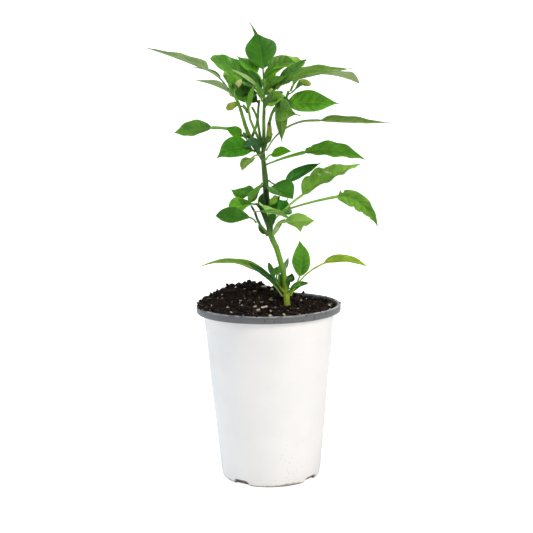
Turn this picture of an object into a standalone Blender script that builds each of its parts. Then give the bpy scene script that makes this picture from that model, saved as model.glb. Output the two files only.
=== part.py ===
"""A young chilli pepper plant growing in a round grower's pot.

Lengths are in millimetres and angles in degrees; new_object() turns them into metres. The origin
is the middle of the pot's underside, +Z is up and -Y is the side that the plant is looked at from.
"""

import math
import random

import bpy
import numpy as np

for leftover in list(bpy.data.objects):
    bpy.data.objects.remove(leftover, do_unlink=True)

MM = 0.001
GAP = 0.3                   # clearance between two pieces that touch

POT_HEIGHT = 130.0
RIM_RADIUS = 53.5           # outside of the collar that is the pot's rim
RIM_DEPTH = 5.2
RIM_WALL = 2.6
RIM_ROUNDING = 0.7
NECK_RADIUS = 48.5          # outside of the wall, just under the rim
BASE_RADIUS = 37.0
MOUTH_RADIUS = RIM_RADIUS - RIM_WALL
BASE_CORNER = 3.5           # rounding between wall and floor
WALL = 1.0
NOTCHES = 4                 # drainage notches in the corner between wall and floor
NOTCH_TURN = -37.0          # the first notch, seen from above, 0 is the front
NOTCH_WIDTH = 14.5
NOTCH_HEIGHT = 4.5
NOTCH_REACH = 5.0           # how far a notch runs under the floor
ROUND = 64                  # facets round the pot and the potting mix

MIX_LEVEL = 127.3           # potting mix at the rim
MIX_DIP = 0.8               # how much lower it lies inside
HEAPS = (                   # x, y, height and spread of each heap of mix
    (-13.0, 16.0, 16.0, 18.5),
    (-36.0, 3.0, 5.0, 11.0),
    (27.0, 27.0, 4.0, 7.0),
)
MIX_ROUGHNESS = 0.9
MIX_RINGS = 9

STEM_SIDES = 10
TWIG_SIDES = 7
BUD_SIDES = 8

STALK_RADIUS = 0.65         # a leaf stalk at its foot
STALK_ROWS = 4
BLADE_ROWS = 9
FOLD = 20.0                 # how far each half of a blade is raised from the midrib
WIDEST = 0.37               # where along its length a blade is widest
TAIL = 0.12                 # the drawn-out tip, as a share of the blade

# name: (colour, roughness)
FINISHES = {
    "pot_plastic": ((0.83, 0.83, 0.82), 0.35),
    "potting_mix": ((0.022, 0.015, 0.010), 0.95),
    "stem_green": ((0.12, 0.24, 0.04), 0.50),
    "leaf_mature": ((0.045, 0.17, 0.018), 0.42),
    "leaf_young": ((0.15, 0.36, 0.03), 0.40),
    "bud_cream": ((0.45, 0.52, 0.20), 0.50),
}


def finish(name):
    """The named material, made the first time it is asked for."""
    material = bpy.data.materials.get(name)
    if material is None:
        colour, roughness = FINISHES[name]
        material = bpy.data.materials.new(name)
        material.use_nodes = True
        shader = material.node_tree.nodes["Principled BSDF"]
        shader.inputs["Base Color"].default_value = (*colour, 1.0)
        shader.inputs["Roughness"].default_value = roughness
        shader.inputs["Metallic"].default_value = 0.0
    return material


def new_object(name, points, faces, material=None, smooth_angle=50.0):
    """A mesh object from points in millimetres; with no material it is a guide for a Boolean."""
    mesh = bpy.data.meshes.new(name)
    mesh.from_pydata([tuple(np.asarray(p) * MM) for p in points], [], faces)
    mesh.shade_smooth()
    mesh.set_sharp_from_angle(angle=math.radians(smooth_angle))
    thing = bpy.data.objects.new(name, mesh)
    bpy.context.scene.collection.objects.link(thing)
    if material:
        mesh.materials.append(finish(material))
    else:
        thing.hide_render = True
        thing.display_type = "WIRE"
    return thing


def combine(thing, other, operation):
    """A live Boolean of one object with another."""
    cut = thing.modifiers.new(other.name, "BOOLEAN")
    cut.operation = operation
    cut.solver = "EXACT"
    cut.object = other


def loft(name, rings, material=None, tip=None):
    """Joins rings of points, each counter-clockwise seen from the last one, into a closed solid."""
    sides = len(rings[0])
    points = [p for ring in rings for p in ring]
    faces = [list(range(sides))[::-1]]
    for row in range(len(rings) - 1):
        near, far = row * sides, (row + 1) * sides
        for i in range(sides):
            j = (i + 1) % sides
            faces.append([near + i, near + j, far + j, far + i])
    last = (len(rings) - 1) * sides
    if tip is None:
        faces.append(list(range(last, last + sides)))
    else:
        points.append(tip)
        faces += [[last + i, last + (i + 1) % sides, len(points) - 1] for i in range(sides)]
    return new_object(name, points, faces, material)


def turned(name, outline, material=None):
    """Turns an outline of (radius, height), from the bottom centre up and round to the top centre."""
    points = [(0.0, 0.0, outline[0][1])]
    for radius, height in outline[1:-1]:
        for i in range(ROUND):
            angle = 2 * math.pi * i / ROUND
            points.append((radius * math.cos(angle), radius * math.sin(angle), height))
    points.append((0.0, 0.0, outline[-1][1]))
    faces = []
    rings = len(outline) - 2
    for i in range(ROUND):
        j = (i + 1) % ROUND
        faces.append([0, 1 + j, 1 + i])
        for row in range(rings - 1):
            near, far = 1 + row * ROUND, 1 + (row + 1) * ROUND
            faces.append([near + i, near + j, far + j, far + i])
        last = 1 + (rings - 1) * ROUND
        faces.append([last + i, last + j, len(points) - 1])
    return new_object(name, points, faces, material)


# ---------------------------------------------------------------- pot

def wall_radius(height):
    """Outside radius of the pot's tapering wall."""
    share = height / (POT_HEIGHT - RIM_DEPTH)
    return BASE_RADIUS + (NECK_RADIUS - BASE_RADIUS) * share


def make_pot():
    shoulder = POT_HEIGHT - RIM_DEPTH
    outline = [
        (0.0, 0.0), (BASE_RADIUS - BASE_CORNER, 0.0),
        (BASE_RADIUS - 0.3 * BASE_CORNER, 0.3 * BASE_CORNER), (wall_radius(BASE_CORNER), BASE_CORNER),
        (NECK_RADIUS, shoulder),
        (RIM_RADIUS - RIM_ROUNDING, shoulder), (RIM_RADIUS, shoulder + RIM_ROUNDING),
        (RIM_RADIUS, POT_HEIGHT - RIM_ROUNDING), (RIM_RADIUS - RIM_ROUNDING, POT_HEIGHT),
        (MOUTH_RADIUS + RIM_ROUNDING, POT_HEIGHT), (MOUTH_RADIUS, POT_HEIGHT - RIM_ROUNDING),
        (MOUTH_RADIUS, shoulder + WALL), (NECK_RADIUS - WALL, shoulder + WALL),
        (wall_radius(BASE_CORNER) - WALL, BASE_CORNER + 0.4 * WALL),
        (BASE_RADIUS - BASE_CORNER, WALL), (0.0, WALL),
    ]
    pot = turned("pot", outline, "pot_plastic")
    for i in range(NOTCHES):
        angle = math.radians(NOTCH_TURN + 360.0 / NOTCHES * i)
        outward = np.array([math.sin(angle), -math.cos(angle), 0.0])
        along = np.array([math.cos(angle), math.sin(angle), 0.0])
        rings = []
        for height, half in ((-1.0, 0.5), (NOTCH_HEIGHT - 1.5, 0.5), (NOTCH_HEIGHT, 0.32)):
            inner, outer = BASE_RADIUS - NOTCH_REACH, BASE_RADIUS + 4.0
            ends = ((inner, -1), (outer, -1), (outer, 1), (inner, 1))
            rings.append([outward * r + along * side * half * NOTCH_WIDTH + (0.0, 0.0, height)
                          for r, side in ends])
        combine(pot, loft(f"notch_guide_{i}", rings), "DIFFERENCE")


# ---------------------------------------------------------------- potting mix

def heaped(x, y):
    """How far the heaps raise the mix at a place."""
    return sum(height * math.exp(-((x - left) ** 2 + (y - back) ** 2) / (2 * spread ** 2))
               for left, back, height, spread in HEAPS)


def make_potting_mix(stem_hole):
    """The mix fills the pot to just under its rim and is heaped up at the back left."""
    dice = random.Random(4)
    foot, shelf = WALL + GAP, POT_HEIGHT - RIM_DEPTH + WALL + GAP
    rings = [(BASE_RADIUS - BASE_CORNER - GAP, foot),
             (wall_radius(BASE_CORNER) - WALL - GAP, BASE_CORNER + 2 * GAP),
             (NECK_RADIUS - WALL - GAP, shelf), (MOUTH_RADIUS - GAP, shelf)]
    brim = len(rings)
    rings += [((MOUTH_RADIUS - GAP) * (1.0 - step / MIX_RINGS), None) for step in range(MIX_RINGS)]
    points = [(0.0, 0.0, foot)]
    for number, (radius, height) in enumerate(rings):
        for i in range(ROUND):
            angle = 2 * math.pi * i / ROUND
            x, y = radius * math.cos(angle), radius * math.sin(angle)
            top = height
            if top is None and number == brim:
                top = min(MIX_LEVEL + heaped(x, y), POT_HEIGHT - RIM_ROUNDING)
            elif top is None:
                top = MIX_LEVEL - MIX_DIP + heaped(x, y) + dice.uniform(-1, 1) * MIX_ROUGHNESS
            points.append((x, y, top))
    points.append((0.0, 0.0, MIX_LEVEL - MIX_DIP + heaped(0.0, 0.0)))
    faces = []
    for i in range(ROUND):
        j = (i + 1) % ROUND
        faces.append([0, 1 + j, 1 + i])
        for row in range(len(rings) - 1):
            near, far = 1 + row * ROUND, 1 + (row + 1) * ROUND
            faces.append([near + i, near + j, far + j, far + i])
        last = 1 + (len(rings) - 1) * ROUND
        faces.append([last + i, last + j, len(points) - 1])
    mix = new_object("potting_mix", points, faces, "potting_mix")
    combine(mix, stem_hole, "DIFFERENCE")


# ---------------------------------------------------------------- stem and branches

class Limb:
    """A smooth run through hand-set points, with its radius at even steps along it."""

    STEPS = 16

    def __init__(self, route, radii):
        given = np.array(route, float)
        ends = [2 * given[0] - given[1], *given, 2 * given[-1] - given[-2]]
        curve = []
        for a, b, c, d in zip(ends, ends[1:], ends[2:], ends[3:]):
            for t in np.arange(self.STEPS) / self.STEPS:
                curve.append(0.5 * (2 * b + (c - a) * t + (2 * a - 5 * b + 4 * c - d) * t ** 2
                                    + (3 * b - a - 3 * c + d) * t ** 3))
        curve.append(given[-1])
        self.curve = np.array(curve)
        steps = np.linalg.norm(np.diff(self.curve, axis=0), axis=1)
        self.along = np.concatenate([[0.0], np.cumsum(steps)])
        self.length = self.along[-1]
        self.radii = radii

    def point(self, share):
        return np.array([np.interp(share * self.length, self.along, self.curve[:, k])
                         for k in range(3)])

    def tangent(self, share):
        way = self.point(min(1.0, share + 0.02)) - self.point(max(0.0, share - 0.02))
        return way / np.linalg.norm(way)

    def radius(self, share):
        return float(np.interp(share, np.linspace(0, 1, len(self.radii)), self.radii))


def tube(name, limb, rows, sides, material=None, swell=0.0):
    """A solid along a limb, its rings held square to it without twisting."""
    rings = []
    side = np.array([1.0, 0.0, 0.0])
    for share in np.linspace(0.0, 1.0, rows):
        way = limb.tangent(share)
        side = side - way * (side @ way)
        side /= np.linalg.norm(side)
        other = np.cross(way, side)
        radius = limb.radius(share) + swell
        rings.append([limb.point(share) + radius * (math.cos(a) * side + math.sin(a) * other)
                      for a in np.arange(sides) * 2 * math.pi / sides])
    return loft(name, rings, material)


# The first point of every branch lies inside the limb that it grows from.
ROOT = [(15, -8, 98), (14.5, -7.5, 112)]
LIMBS = {
    "leader": Limb(
        [(14, -7, 127), (13.5, -7, 134), (13, -7, 141), (11.5, -6, 152.5), (9, -5, 163.5),
         (6, -4, 173.5), (2, -3, 182.5), (1, -2, 196.5), (-0.5, -1, 211), (-1, 0, 222),
         (-2, 0, 233), (-2.5, 0, 240), (-2, 0, 246.5), (-1.5, 0, 256), (-1.5, 0, 265.5),
         (-1, 0, 276), (-1, 0, 285.5), (-1, 0, 294)],
        [2.3, 2.2, 2.1, 2.0, 1.9, 2.0, 2.1, 1.2, 1.1, 0.9, 0.6]),
    "left_branch": Limb(
        [(-2.5, 0, 237), (-4.5, -1, 240.5), (-8, -2, 245.5), (-11.5, -3, 252.5), (-15, -5, 262),
         (-18, -7, 273), (-21, -9, 281.5), (-25.5, -10, 287.5)],
        [1.8, 1.6, 1.3, 1.1, 0.9, 0.8]),
    "inner_branch": Limb(
        [(-11, -3, 251.5), (-8.5, -2, 257.5), (-6, 2, 264.5), (-5.5, 5, 272.5), (-4.5, 7, 279.5)],
        [0.9, 0.8, 0.7]),
    "crossing_branch": Limb(
        [(-2.2, 0, 244.5), (-6, -5, 253.5), (-9, -8, 260.5), (-11.5, -10, 267), (-12, -11, 272)],
        [1.0, 0.8, 0.7]),
    "back_branch": Limb(
        [(-2.2, 0, 245), (-4.5, 5, 254.5), (-5.5, 8, 261), (-6.5, 11, 267.5), (-10, 14, 274.5)],
        [0.9, 0.8, 0.7]),
    "right_branch": Limb(
        [(-2, 0, 243.5), (1, -4, 252.5), (2, -7, 260.5), (3.5, -9, 267.5), (6, -10, 273.5),
         (11, -10, 277.5), (15.5, -9, 281.5), (16.5, -8, 286)],
        [1.2, 1.0, 0.9, 0.8]),
    "right_shoot": Limb(
        [(-1, 0, 276.5), (2.5, 0, 283.5), (7.5, 1, 288), (13.5, 2, 292.5)],
        [0.8, 0.8, 0.7]),
    "low_shoot_left": Limb(
        [(2, -3, 181), (-3, -6, 186.5), (-6.5, -8, 192), (-9, -9, 199.5), (-11.5, -10, 204)],
        [1.0, 0.8, 0.6]),
    "low_shoot_back": Limb(
        [(1.5, -3, 184), (-2, 1, 193), (-5, 3, 200.5), (-8, 4, 204.5)],
        [0.8, 0.7, 0.6]),
    "base_shoot": Limb(
        [(13, -7, 137), (9, -8, 143), (5.5, -8, 148), (4, -8, 152)],
        [0.9, 0.8, 0.6]),
}


def make_stem():
    """Stem, side branches and the root end in the mix, grown as one piece; returns its hole."""
    leader = LIMBS["leader"]
    buried = Limb(ROOT + [leader.point(0.0), leader.point(0.08)], [0.6, 1.6, leader.radii[0], 2.2])
    stem = tube("stem", leader, 30, STEM_SIDES, "stem_green")
    combine(stem, tube("root_guide", buried, 6, STEM_SIDES), "UNION")
    for name, limb in LIMBS.items():
        if name != "leader":
            rows = max(6, round(limb.length / 5.0))
            combine(stem, tube(f"{name}_guide", limb, rows, TWIG_SIDES), "UNION")
    below = ROOT[0] - np.array([0.0, 0.0, GAP])
    hole = Limb([below, ROOT[1], leader.point(0.0), leader.point(0.08)],
                [0.6, 1.6, leader.radii[0], 2.2])
    return tube("stem_hole_guide", hole, 6, STEM_SIDES, swell=GAP)


def compass(turn):
    """A level direction: 0 is the front, 90 the right, 180 the back, 270 the left."""
    angle = math.radians(turn)
    return np.array([math.sin(angle), -math.cos(angle), 0.0])


def seat(limb, at, outward, way, radius):
    """Where a round stalk that leaves along `way` stands just clear of the limb's surface."""
    axis = limb.tangent(at)
    outward = outward - axis * (outward @ axis)
    outward /= np.linalg.norm(outward)
    return limb.point(at) + outward * (limb.radius(at) + GAP + radius * abs(way @ axis))


# ---------------------------------------------------------------- leaves

def blade_half_width(share, width, widest, tail):
    """Half the width of an egg-shaped blade that is drawn out into a thin tip."""
    body = min(1.0, share / (1.0 - tail))
    swell = (body / widest) ** (2 * widest)
    narrow = ((1.0 - body) / (1.0 - widest)) ** (2 * (1.0 - widest))
    return 0.5 * width * swell * narrow + 0.6 * min(1.0, 8.0 * share) * (1.0 - share)


def leaf(name, limb, at, turn, stalk, rise, crest, dip, length, width,
         roll=0.0, twist=0.0, sweep=0.0, widest=WIDEST, tail=TAIL, fold=FOLD, young=False):
    """A leaf with its stalk. It sets off towards `turn`, climbing at `rise`; it climbs at `crest`
    where the blade starts and at `dip` at the tip. The blade is rolled about its midrib by `roll`,
    twists on by `twist`, and swings round by `sweep` towards its tip."""
    rows = [(0.0, step / STALK_ROWS) for step in range(STALK_ROWS)]
    rows += [(step / BLADE_ROWS, 1.0) for step in range(BLADE_ROWS + 1)]
    stalk_radius = min(STALK_RADIUS, 0.3 + 0.03 * length)
    spot = None
    rings = []
    for number, (share, up_stalk) in enumerate(rows):
        climb = rise + (crest - rise) * up_stalk + (dip - crest) * share
        heading = turn + sweep * share ** 2
        lean = math.radians(roll * up_stalk + twist * share)
        level, slope = compass(heading), math.radians(climb)
        way = math.cos(slope) * level + math.sin(slope) * np.array([0.0, 0.0, 1.0])
        up = math.cos(slope) * np.array([0.0, 0.0, 1.0]) - math.sin(slope) * level
        side = np.cross(way, up)
        side, up = (math.cos(lean) * side + math.sin(lean) * up,
                    math.cos(lean) * up - math.sin(lean) * side)
        if spot is None:
            spot = seat(LIMBS[limb], at, compass(turn), way, stalk_radius)
        else:
            step = stalk / STALK_ROWS if number <= STALK_ROWS else length / BLADE_ROWS
            spot = spot + 0.5 * (way + last_way) * step
        last_way = way
        if share == 1.0:
            break
        rib = stalk_radius * (1.0 - 0.75 * share)
        half = max(rib, blade_half_width(share, width, widest, tail)) if share else rib
        raised = math.radians(fold if share else 0.0)
        edge_out, edge_up = half * math.cos(raised), half * math.sin(raised)
        rings.append([spot - edge_out * side + edge_up * up, spot + 0.6 * rib * up,
                      spot + edge_out * side + edge_up * up, spot - rib * up])
    loft(name, rings, "leaf_young" if young else "leaf_mature", tip=spot)


def make_leaves():
    # the crown, round the top of the leader
    leaf("crown_leaf", "leader", at=1.00, turn=185, stalk=8.5, rise=80, crest=51, dip=55,
         length=43.5, width=24, roll=10, sweep=50, widest=0.5, tail=0.26)
    leaf("crown_left_back_leaf", "leader", at=0.98, turn=225, stalk=10, rise=84, crest=32, dip=33,
         length=28, width=11.5, roll=25, twist=-5, sweep=5, tail=0.15)
    leaf("crown_right_back_leaf", "leader", at=0.98, turn=102, stalk=9, rise=80, crest=55, dip=-35,
         length=26, width=17, roll=-30, twist=-5, sweep=5, tail=0.1)
    leaf("crown_bright_leaf", "leader", at=0.99, turn=60, stalk=2, rise=55, crest=44, dip=16,
         length=19.5, width=8, roll=10, twist=5, sweep=-5, young=True)
    leaf("crown_front_leaf", "leader", at=0.96, turn=40, stalk=3.5, rise=62, crest=23, dip=15,
         length=23.5, width=11, roll=20)
    leaf("upper_left_leaf", "leader", at=0.91, turn=235, stalk=11, rise=75, crest=40, dip=6,
         length=67.5, width=13.5, roll=35, twist=10, sweep=-30, tail=0.1)

    # the left branch and the branches beside it
    leaf("far_left_leaf", "left_branch", at=1.00, turn=260, stalk=19.5, rise=72, crest=24, dip=17,
         length=53, width=18, roll=10, widest=0.25, tail=0.02)
    leaf("left_dark_leaf", "left_branch", at=0.98, turn=235, stalk=12, rise=63, crest=38, dip=-2,
         length=28.5, width=6, sweep=5, tail=0.05)
    leaf("left_grey_leaf", "left_branch", at=0.93, turn=295, stalk=5, rise=61, crest=27, dip=7,
         length=26.5, width=11, roll=-10, tail=0.05)
    leaf("left_bract_leaf", "left_branch", at=0.99, turn=340, stalk=5.5, rise=65, crest=70, dip=65,
         length=8, width=5, roll=10, sweep=-10, widest=0.45, young=True)
    leaf("left_broad_leaf", "crossing_branch", at=1.00, turn=195, stalk=8.5, rise=78, crest=22,
         dip=-5, length=27, width=21, roll=5)
    leaf("left_oval_leaf", "left_branch", at=0.34, turn=250, stalk=28.5, rise=33, crest=-3, dip=-14,
         length=29, width=13.5, roll=55, twist=10, widest=0.5, tail=0.04)
    leaf("left_tucked_leaf", "left_branch", at=0.27, turn=295, stalk=8, rise=70, crest=22, dip=32,
         length=15.5, width=9, roll=65, twist=15, sweep=-5, tail=0.06)
    leaf("left_face_leaf", "left_branch", at=0.15, turn=315, stalk=1.5, rise=39, crest=22, dip=-35,
         length=38, width=16.5, roll=55, twist=10, sweep=-5, widest=0.55, tail=0.08)
    leaf("left_hanging_leaf", "left_branch", at=0.08, turn=335, stalk=12, rise=15, crest=-25,
         dip=-75, length=17.5, width=10, tail=0.03, young=True)

    # the right branch and shoot
    leaf("right_long_leaf", "right_shoot", at=1.00, turn=105, stalk=3, rise=55, crest=13, dip=7,
         length=52.5, width=27, roll=-10, twist=-5, tail=0.1)
    leaf("right_drooping_leaf", "right_shoot", at=0.69, turn=130, stalk=24, rise=40, crest=8,
         dip=-20, length=63, width=20, roll=-10, twist=15, widest=0.6, tail=0.03)
    leaf("right_upright_leaf", "right_shoot", at=0.9, turn=160, stalk=21, rise=36, crest=26,
         dip=21, length=26, width=18, roll=-20, twist=-5, sweep=5)
    leaf("right_curved_leaf", "right_branch", at=1.00, turn=75, stalk=3.5, rise=82, crest=57,
         dip=-29, length=34.5, width=8.5, roll=10, twist=10, young=True)
    leaf("right_big_leaf", "right_branch", at=0.83, turn=85, stalk=1.5, rise=21, crest=-2, dip=-2,
         length=39, width=19, roll=-55, twist=5, sweep=5, widest=0.4, tail=0.07, fold=12)
    leaf("right_dark_leaf", "right_branch", at=0.63, turn=35, stalk=5.5, rise=42, crest=-8, dip=-13,
         length=27, width=16, roll=-70, twist=-25, sweep=10, tail=0.25)
    leaf("right_hanging_leaf", "right_branch", at=0.78, turn=175, stalk=2, rise=-20, crest=-75,
         dip=-88, length=28, width=9, widest=0.35, tail=0.05)
    leaf("right_curled_leaf", "right_shoot", at=0.13, turn=35, stalk=3, rise=-16, crest=-3, dip=29,
         length=21.5, width=13, roll=-55, twist=-20, sweep=-5, widest=0.5, tail=0.03, fold=30)

    # the fork, half way up
    leaf("long_olive_leaf", "leader", at=0.70, turn=90, stalk=47, rise=65, crest=-6, dip=1,
         length=55, width=14, roll=-15, twist=-10, widest=0.35, tail=0.08)
    leaf("bright_small_leaf", "leader", at=0.66, turn=55, stalk=6.5, rise=69, crest=10, dip=7,
         length=19, width=9, roll=-50, twist=-5, widest=0.4, tail=0.06, young=True)
    leaf("wavy_right_leaf", "leader", at=0.64, turn=85, stalk=28, rise=22, crest=12, dip=-27,
         length=47, width=13.5, roll=-45, twist=-15, widest=0.45, tail=0.05)

    # the middle of the stem
    leaf("mid_left_dark_leaf", "leader", at=0.55, turn=230, stalk=9.5, rise=-37, crest=-27, dip=32,
         length=23.5, width=12, roll=40, sweep=10, tail=0.02)
    leaf("mid_left_folded_leaf", "leader", at=0.56, turn=295, stalk=1.5, rise=-2, crest=-65, dip=-36,
         length=16.5, width=9, roll=-55, twist=-20, sweep=-20, widest=0.6, tail=0.0)
    leaf("mid_left_bright_leaf", "low_shoot_back", at=1.00, turn=285, stalk=2, rise=18, crest=1,
         dip=-44, length=18.5, width=12.5, roll=30, widest=0.6, tail=0.03, young=True)
    leaf("mid_left_broad_leaf", "low_shoot_left", at=0.53, turn=275, stalk=6.5, rise=67, crest=14,
         dip=-6, length=25, width=12, roll=65, twist=25, sweep=-5, widest=0.55, tail=0.0)
    leaf("mid_heart_leaf", "leader", at=0.54, turn=45, stalk=2, rise=16, crest=-2, dip=-35,
         length=24, width=17.5, roll=-20, twist=-10, sweep=5, widest=0.5, tail=0.03)
    leaf("mid_right_rising_leaf", "leader", at=0.57, turn=110, stalk=14, rise=-50, crest=30, dip=19,
         length=34, width=10, roll=-40, sweep=5, widest=0.4, tail=0.08)
    leaf("mid_right_spotted_leaf", "leader", at=0.39, turn=110, stalk=29.5, rise=46, crest=31,
         dip=16, length=54.5, width=29.5, roll=-10, twist=-5, sweep=5, widest=0.4, tail=0.04)
    leaf("mid_right_torn_leaf", "leader", at=0.42, turn=60, stalk=54, rise=21, crest=11, dip=-73,
         length=43, width=12, roll=-70, twist=-25, widest=0.45, tail=0.04)
    leaf("inner_dark_leaf", "leader", at=0.44, turn=145, stalk=6, rise=-17, crest=-1, dip=48,
         length=21, width=17.5, roll=-40, twist=-5, sweep=5)
    leaf("front_light_leaf", "leader", at=0.33, turn=50, stalk=17, rise=86, crest=4, dip=3,
         length=26.5, width=11, roll=80, twist=15, sweep=10, widest=0.45, tail=0.03, young=True)
    leaf("front_small_leaf", "leader", at=0.42, turn=350, stalk=2, rise=26, crest=37, dip=11,
         length=22.5, width=13.5, roll=20, sweep=-20, young=True)

    # the foot of the stem
    leaf("base_long_leaf", "leader", at=0.06, turn=270, stalk=14, rise=57, crest=48, dip=-27,
         length=60, width=10.5, roll=20, widest=0.3, tail=0.04)
    leaf("base_tiny_left_leaf", "base_shoot", at=1.00, turn=290, stalk=2.5, rise=70, crest=79,
         dip=80, length=8, width=4, roll=-15, twist=-5, sweep=5)
    leaf("base_tiny_front_leaf", "base_shoot", at=0.76, turn=15, stalk=5.5, rise=72, crest=63,
         dip=43, length=10, width=5, sweep=5)
    leaf("base_blue_leaf", "leader", at=0.16, turn=155, stalk=3, rise=52, crest=61, dip=55,
         length=10.5, width=4, roll=10, twist=5, sweep=-5)
    leaf("base_upright_leaf", "leader", at=0.07, turn=120, stalk=14, rise=36, crest=68, dip=111,
         length=28, width=15, roll=-20, twist=-5, widest=0.45, tail=0.03, fold=8)
    leaf("base_right_leaf", "leader", at=0.06, turn=80, stalk=34, rise=65, crest=25, dip=-34,
         length=36, width=8.5, roll=-30, twist=-10, widest=0.4, tail=0.04, young=True)
    leaf("base_small_right_leaf", "leader", at=0.08, turn=40, stalk=4, rise=38, crest=29, dip=5,
         length=12.5, width=6.5, roll=-20, twist=-5, young=True)
    leaf("base_small_dark_leaf", "leader", at=0.11, turn=120, stalk=2, rise=16, crest=57, dip=94,
         length=7, width=5, roll=-25, twist=-5, sweep=5, tail=0.03)


# ---------------------------------------------------------------- buds, flower and fruit

def bud(name, limb, at, route, radii, rows=11):
    """A stalk that swells into its bud, from just clear of the limb through the given points."""
    start = LIMBS[limb].point(at)
    way = np.array(route[0], float) - start
    way /= np.linalg.norm(way)
    foot = seat(LIMBS[limb], at, way, way, radii[0])
    tube(name, Limb([foot, *route], radii), rows, BUD_SIDES, "bud_cream")


def make_buds():
    bud("bud_left", "crossing_branch", at=1.00,
        route=[(-16, -13, 275), (-20.5, -14, 277), (-23.5, -14, 276.5), (-26, -14, 275),
               (-27.5, -14, 273)], radii=[0.45, 0.45, 0.5, 1.9, 2.8, 1.6])
    bud("bud_cream", "left_branch", at=1.00,
        route=[(-22.5, -13, 289), (-20, -14, 291), (-18, -14, 293), (-17, -14, 294.5)],
        radii=[0.45, 0.5, 2.0, 2.1, 1.0])
    bud("bud_small_left", "left_branch", at=1.00,
        route=[(-26.5, -10, 292), (-28, -11, 296), (-28.5, -11, 299), (-29, -11, 300.5)],
        radii=[0.45, 0.45, 0.6, 1.7, 0.9])
    bud("bud_right", "right_branch", at=0.95,
        route=[(19, -14, 285), (22.5, -15, 288.5), (26, -15, 292), (30.5, -15, 291),
               (32.5, -15, 290)], radii=[0.45, 0.5, 0.6, 1.8, 2.4, 1.6])
    bud("spent_flower", "right_branch", at=0.15,
        route=[(2.5, -9.5, 251), (2.5, -12.5, 256.5), (2.5, -13, 261.5), (2, -13, 264.5)],
        radii=[0.6, 0.8, 2.0, 1.7, 1.1])
    bud("young_fruit", "leader", at=0.45,
        route=[(3, -8, 205.5), (5.5, -9, 208.5), (6, -9, 211.5)], radii=[0.5, 0.7, 2.7, 1.2])
    bud("bud_crown", "leader", at=0.95,
        route=[(2, -5, 285.5), (4, -7.5, 287), (5, -8.5, 288)], radii=[0.45, 0.5, 1.3, 0.7])
    bud("bud_tuft", "crossing_branch", at=0.95,
        route=[(-14, -10, 273.5), (-15.5, -10, 275.5), (-16, -10, 277)],
        radii=[0.45, 0.5, 1.1, 0.6])
    bud("bud_fork", "left_branch", at=0.30,
        route=[(-13.5, -8, 254.5), (-15.5, -9, 256), (-16.5, -9, 257)],
        radii=[0.45, 0.6, 1.3, 0.7])


make_pot()
make_potting_mix(make_stem())
make_leaves()
make_buds()
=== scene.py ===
import math
import random

import bpy
import numpy as np
from mathutils import Matrix, Vector
from mathutils.bvhtree import BVHTree


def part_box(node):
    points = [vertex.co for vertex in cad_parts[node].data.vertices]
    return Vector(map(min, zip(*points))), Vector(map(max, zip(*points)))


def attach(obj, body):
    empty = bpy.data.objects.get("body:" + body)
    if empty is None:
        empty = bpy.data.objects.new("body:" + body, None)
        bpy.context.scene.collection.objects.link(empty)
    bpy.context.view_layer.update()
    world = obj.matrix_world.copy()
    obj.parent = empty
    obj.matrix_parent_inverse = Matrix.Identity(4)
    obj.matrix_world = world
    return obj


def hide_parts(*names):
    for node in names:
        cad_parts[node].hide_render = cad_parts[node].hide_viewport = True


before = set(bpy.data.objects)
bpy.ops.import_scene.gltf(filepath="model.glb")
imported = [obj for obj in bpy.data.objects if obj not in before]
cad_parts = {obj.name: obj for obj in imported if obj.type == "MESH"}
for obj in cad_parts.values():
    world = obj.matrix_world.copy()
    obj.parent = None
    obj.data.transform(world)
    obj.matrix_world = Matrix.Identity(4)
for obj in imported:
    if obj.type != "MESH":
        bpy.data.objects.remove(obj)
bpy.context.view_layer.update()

# ------------------------------------------------------------------ the studio
# A white bench that curves up into a low white wall all round, a large cool light on the left,
# a warm one on the right and a third behind. The camera looks at the pot from slightly above.
MM = 0.001
LENS, SENSOR = 81.05, 36.0              # millimetres
CAMERA_PLACE = (-0.0011, -0.877, 0.288)
CAMERA_DIP, CAMERA_ROLL = 8.44, -0.87   # degrees below level, and tipped over
LIGHT_AIM = Vector((0.0, 0.0, 0.17))
AIR_GLOW = 0.14
BENCH_GLOW = 0.75
BENCH_RADIUS, BENCH_CURVE, BENCH_WALL, BENCH_SIDES = 1.75, 0.45, 1.1, 96

camera_data = bpy.data.cameras.new("camera")
camera_data.sensor_width = SENSOR
camera_data.lens = LENS
camera_data.clip_start = 0.05
camera = bpy.data.objects.new("camera", camera_data)
bpy.context.scene.collection.objects.link(camera)
camera.matrix_world = (Matrix.Translation(CAMERA_PLACE)
                       @ Matrix.Rotation(math.radians(90 - CAMERA_DIP), 4, "X")
                       @ Matrix.Rotation(math.radians(CAMERA_ROLL), 4, "Z"))
bpy.context.scene.camera = camera
bpy.context.scene.view_settings.view_transform = "Standard"

LIGHTS = {                      # name: (place, size, watts, colour)
    "left_softbox": ((-1.35, 0.05, 0.65), 0.7, 7.5, (0.74, 0.87, 1.0)),
    "right_softbox": ((1.0, -1.15, 0.95), 0.6, 16.0, (1.0, 0.97, 0.935)),
    "back_softbox": ((0.5, 1.3, 0.9), 0.8, 5.0, (1.0, 1.0, 1.0)),
    "top_softbox": ((-0.15, -0.1, 1.5), 0.7, 11.5, (1.0, 1.0, 1.0)),
}
for name, (place, size, watts, colour) in LIGHTS.items():
    light_data = bpy.data.lights.new(name, "AREA")
    light_data.shape = "DISK"
    light_data.size = size
    light_data.energy = watts
    light_data.color = colour
    light = bpy.data.objects.new(name, light_data)
    bpy.context.scene.collection.objects.link(light)
    light.location = place
    light.rotation_euler = (LIGHT_AIM - Vector(place)).to_track_quat("-Z", "Y").to_euler()

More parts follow.
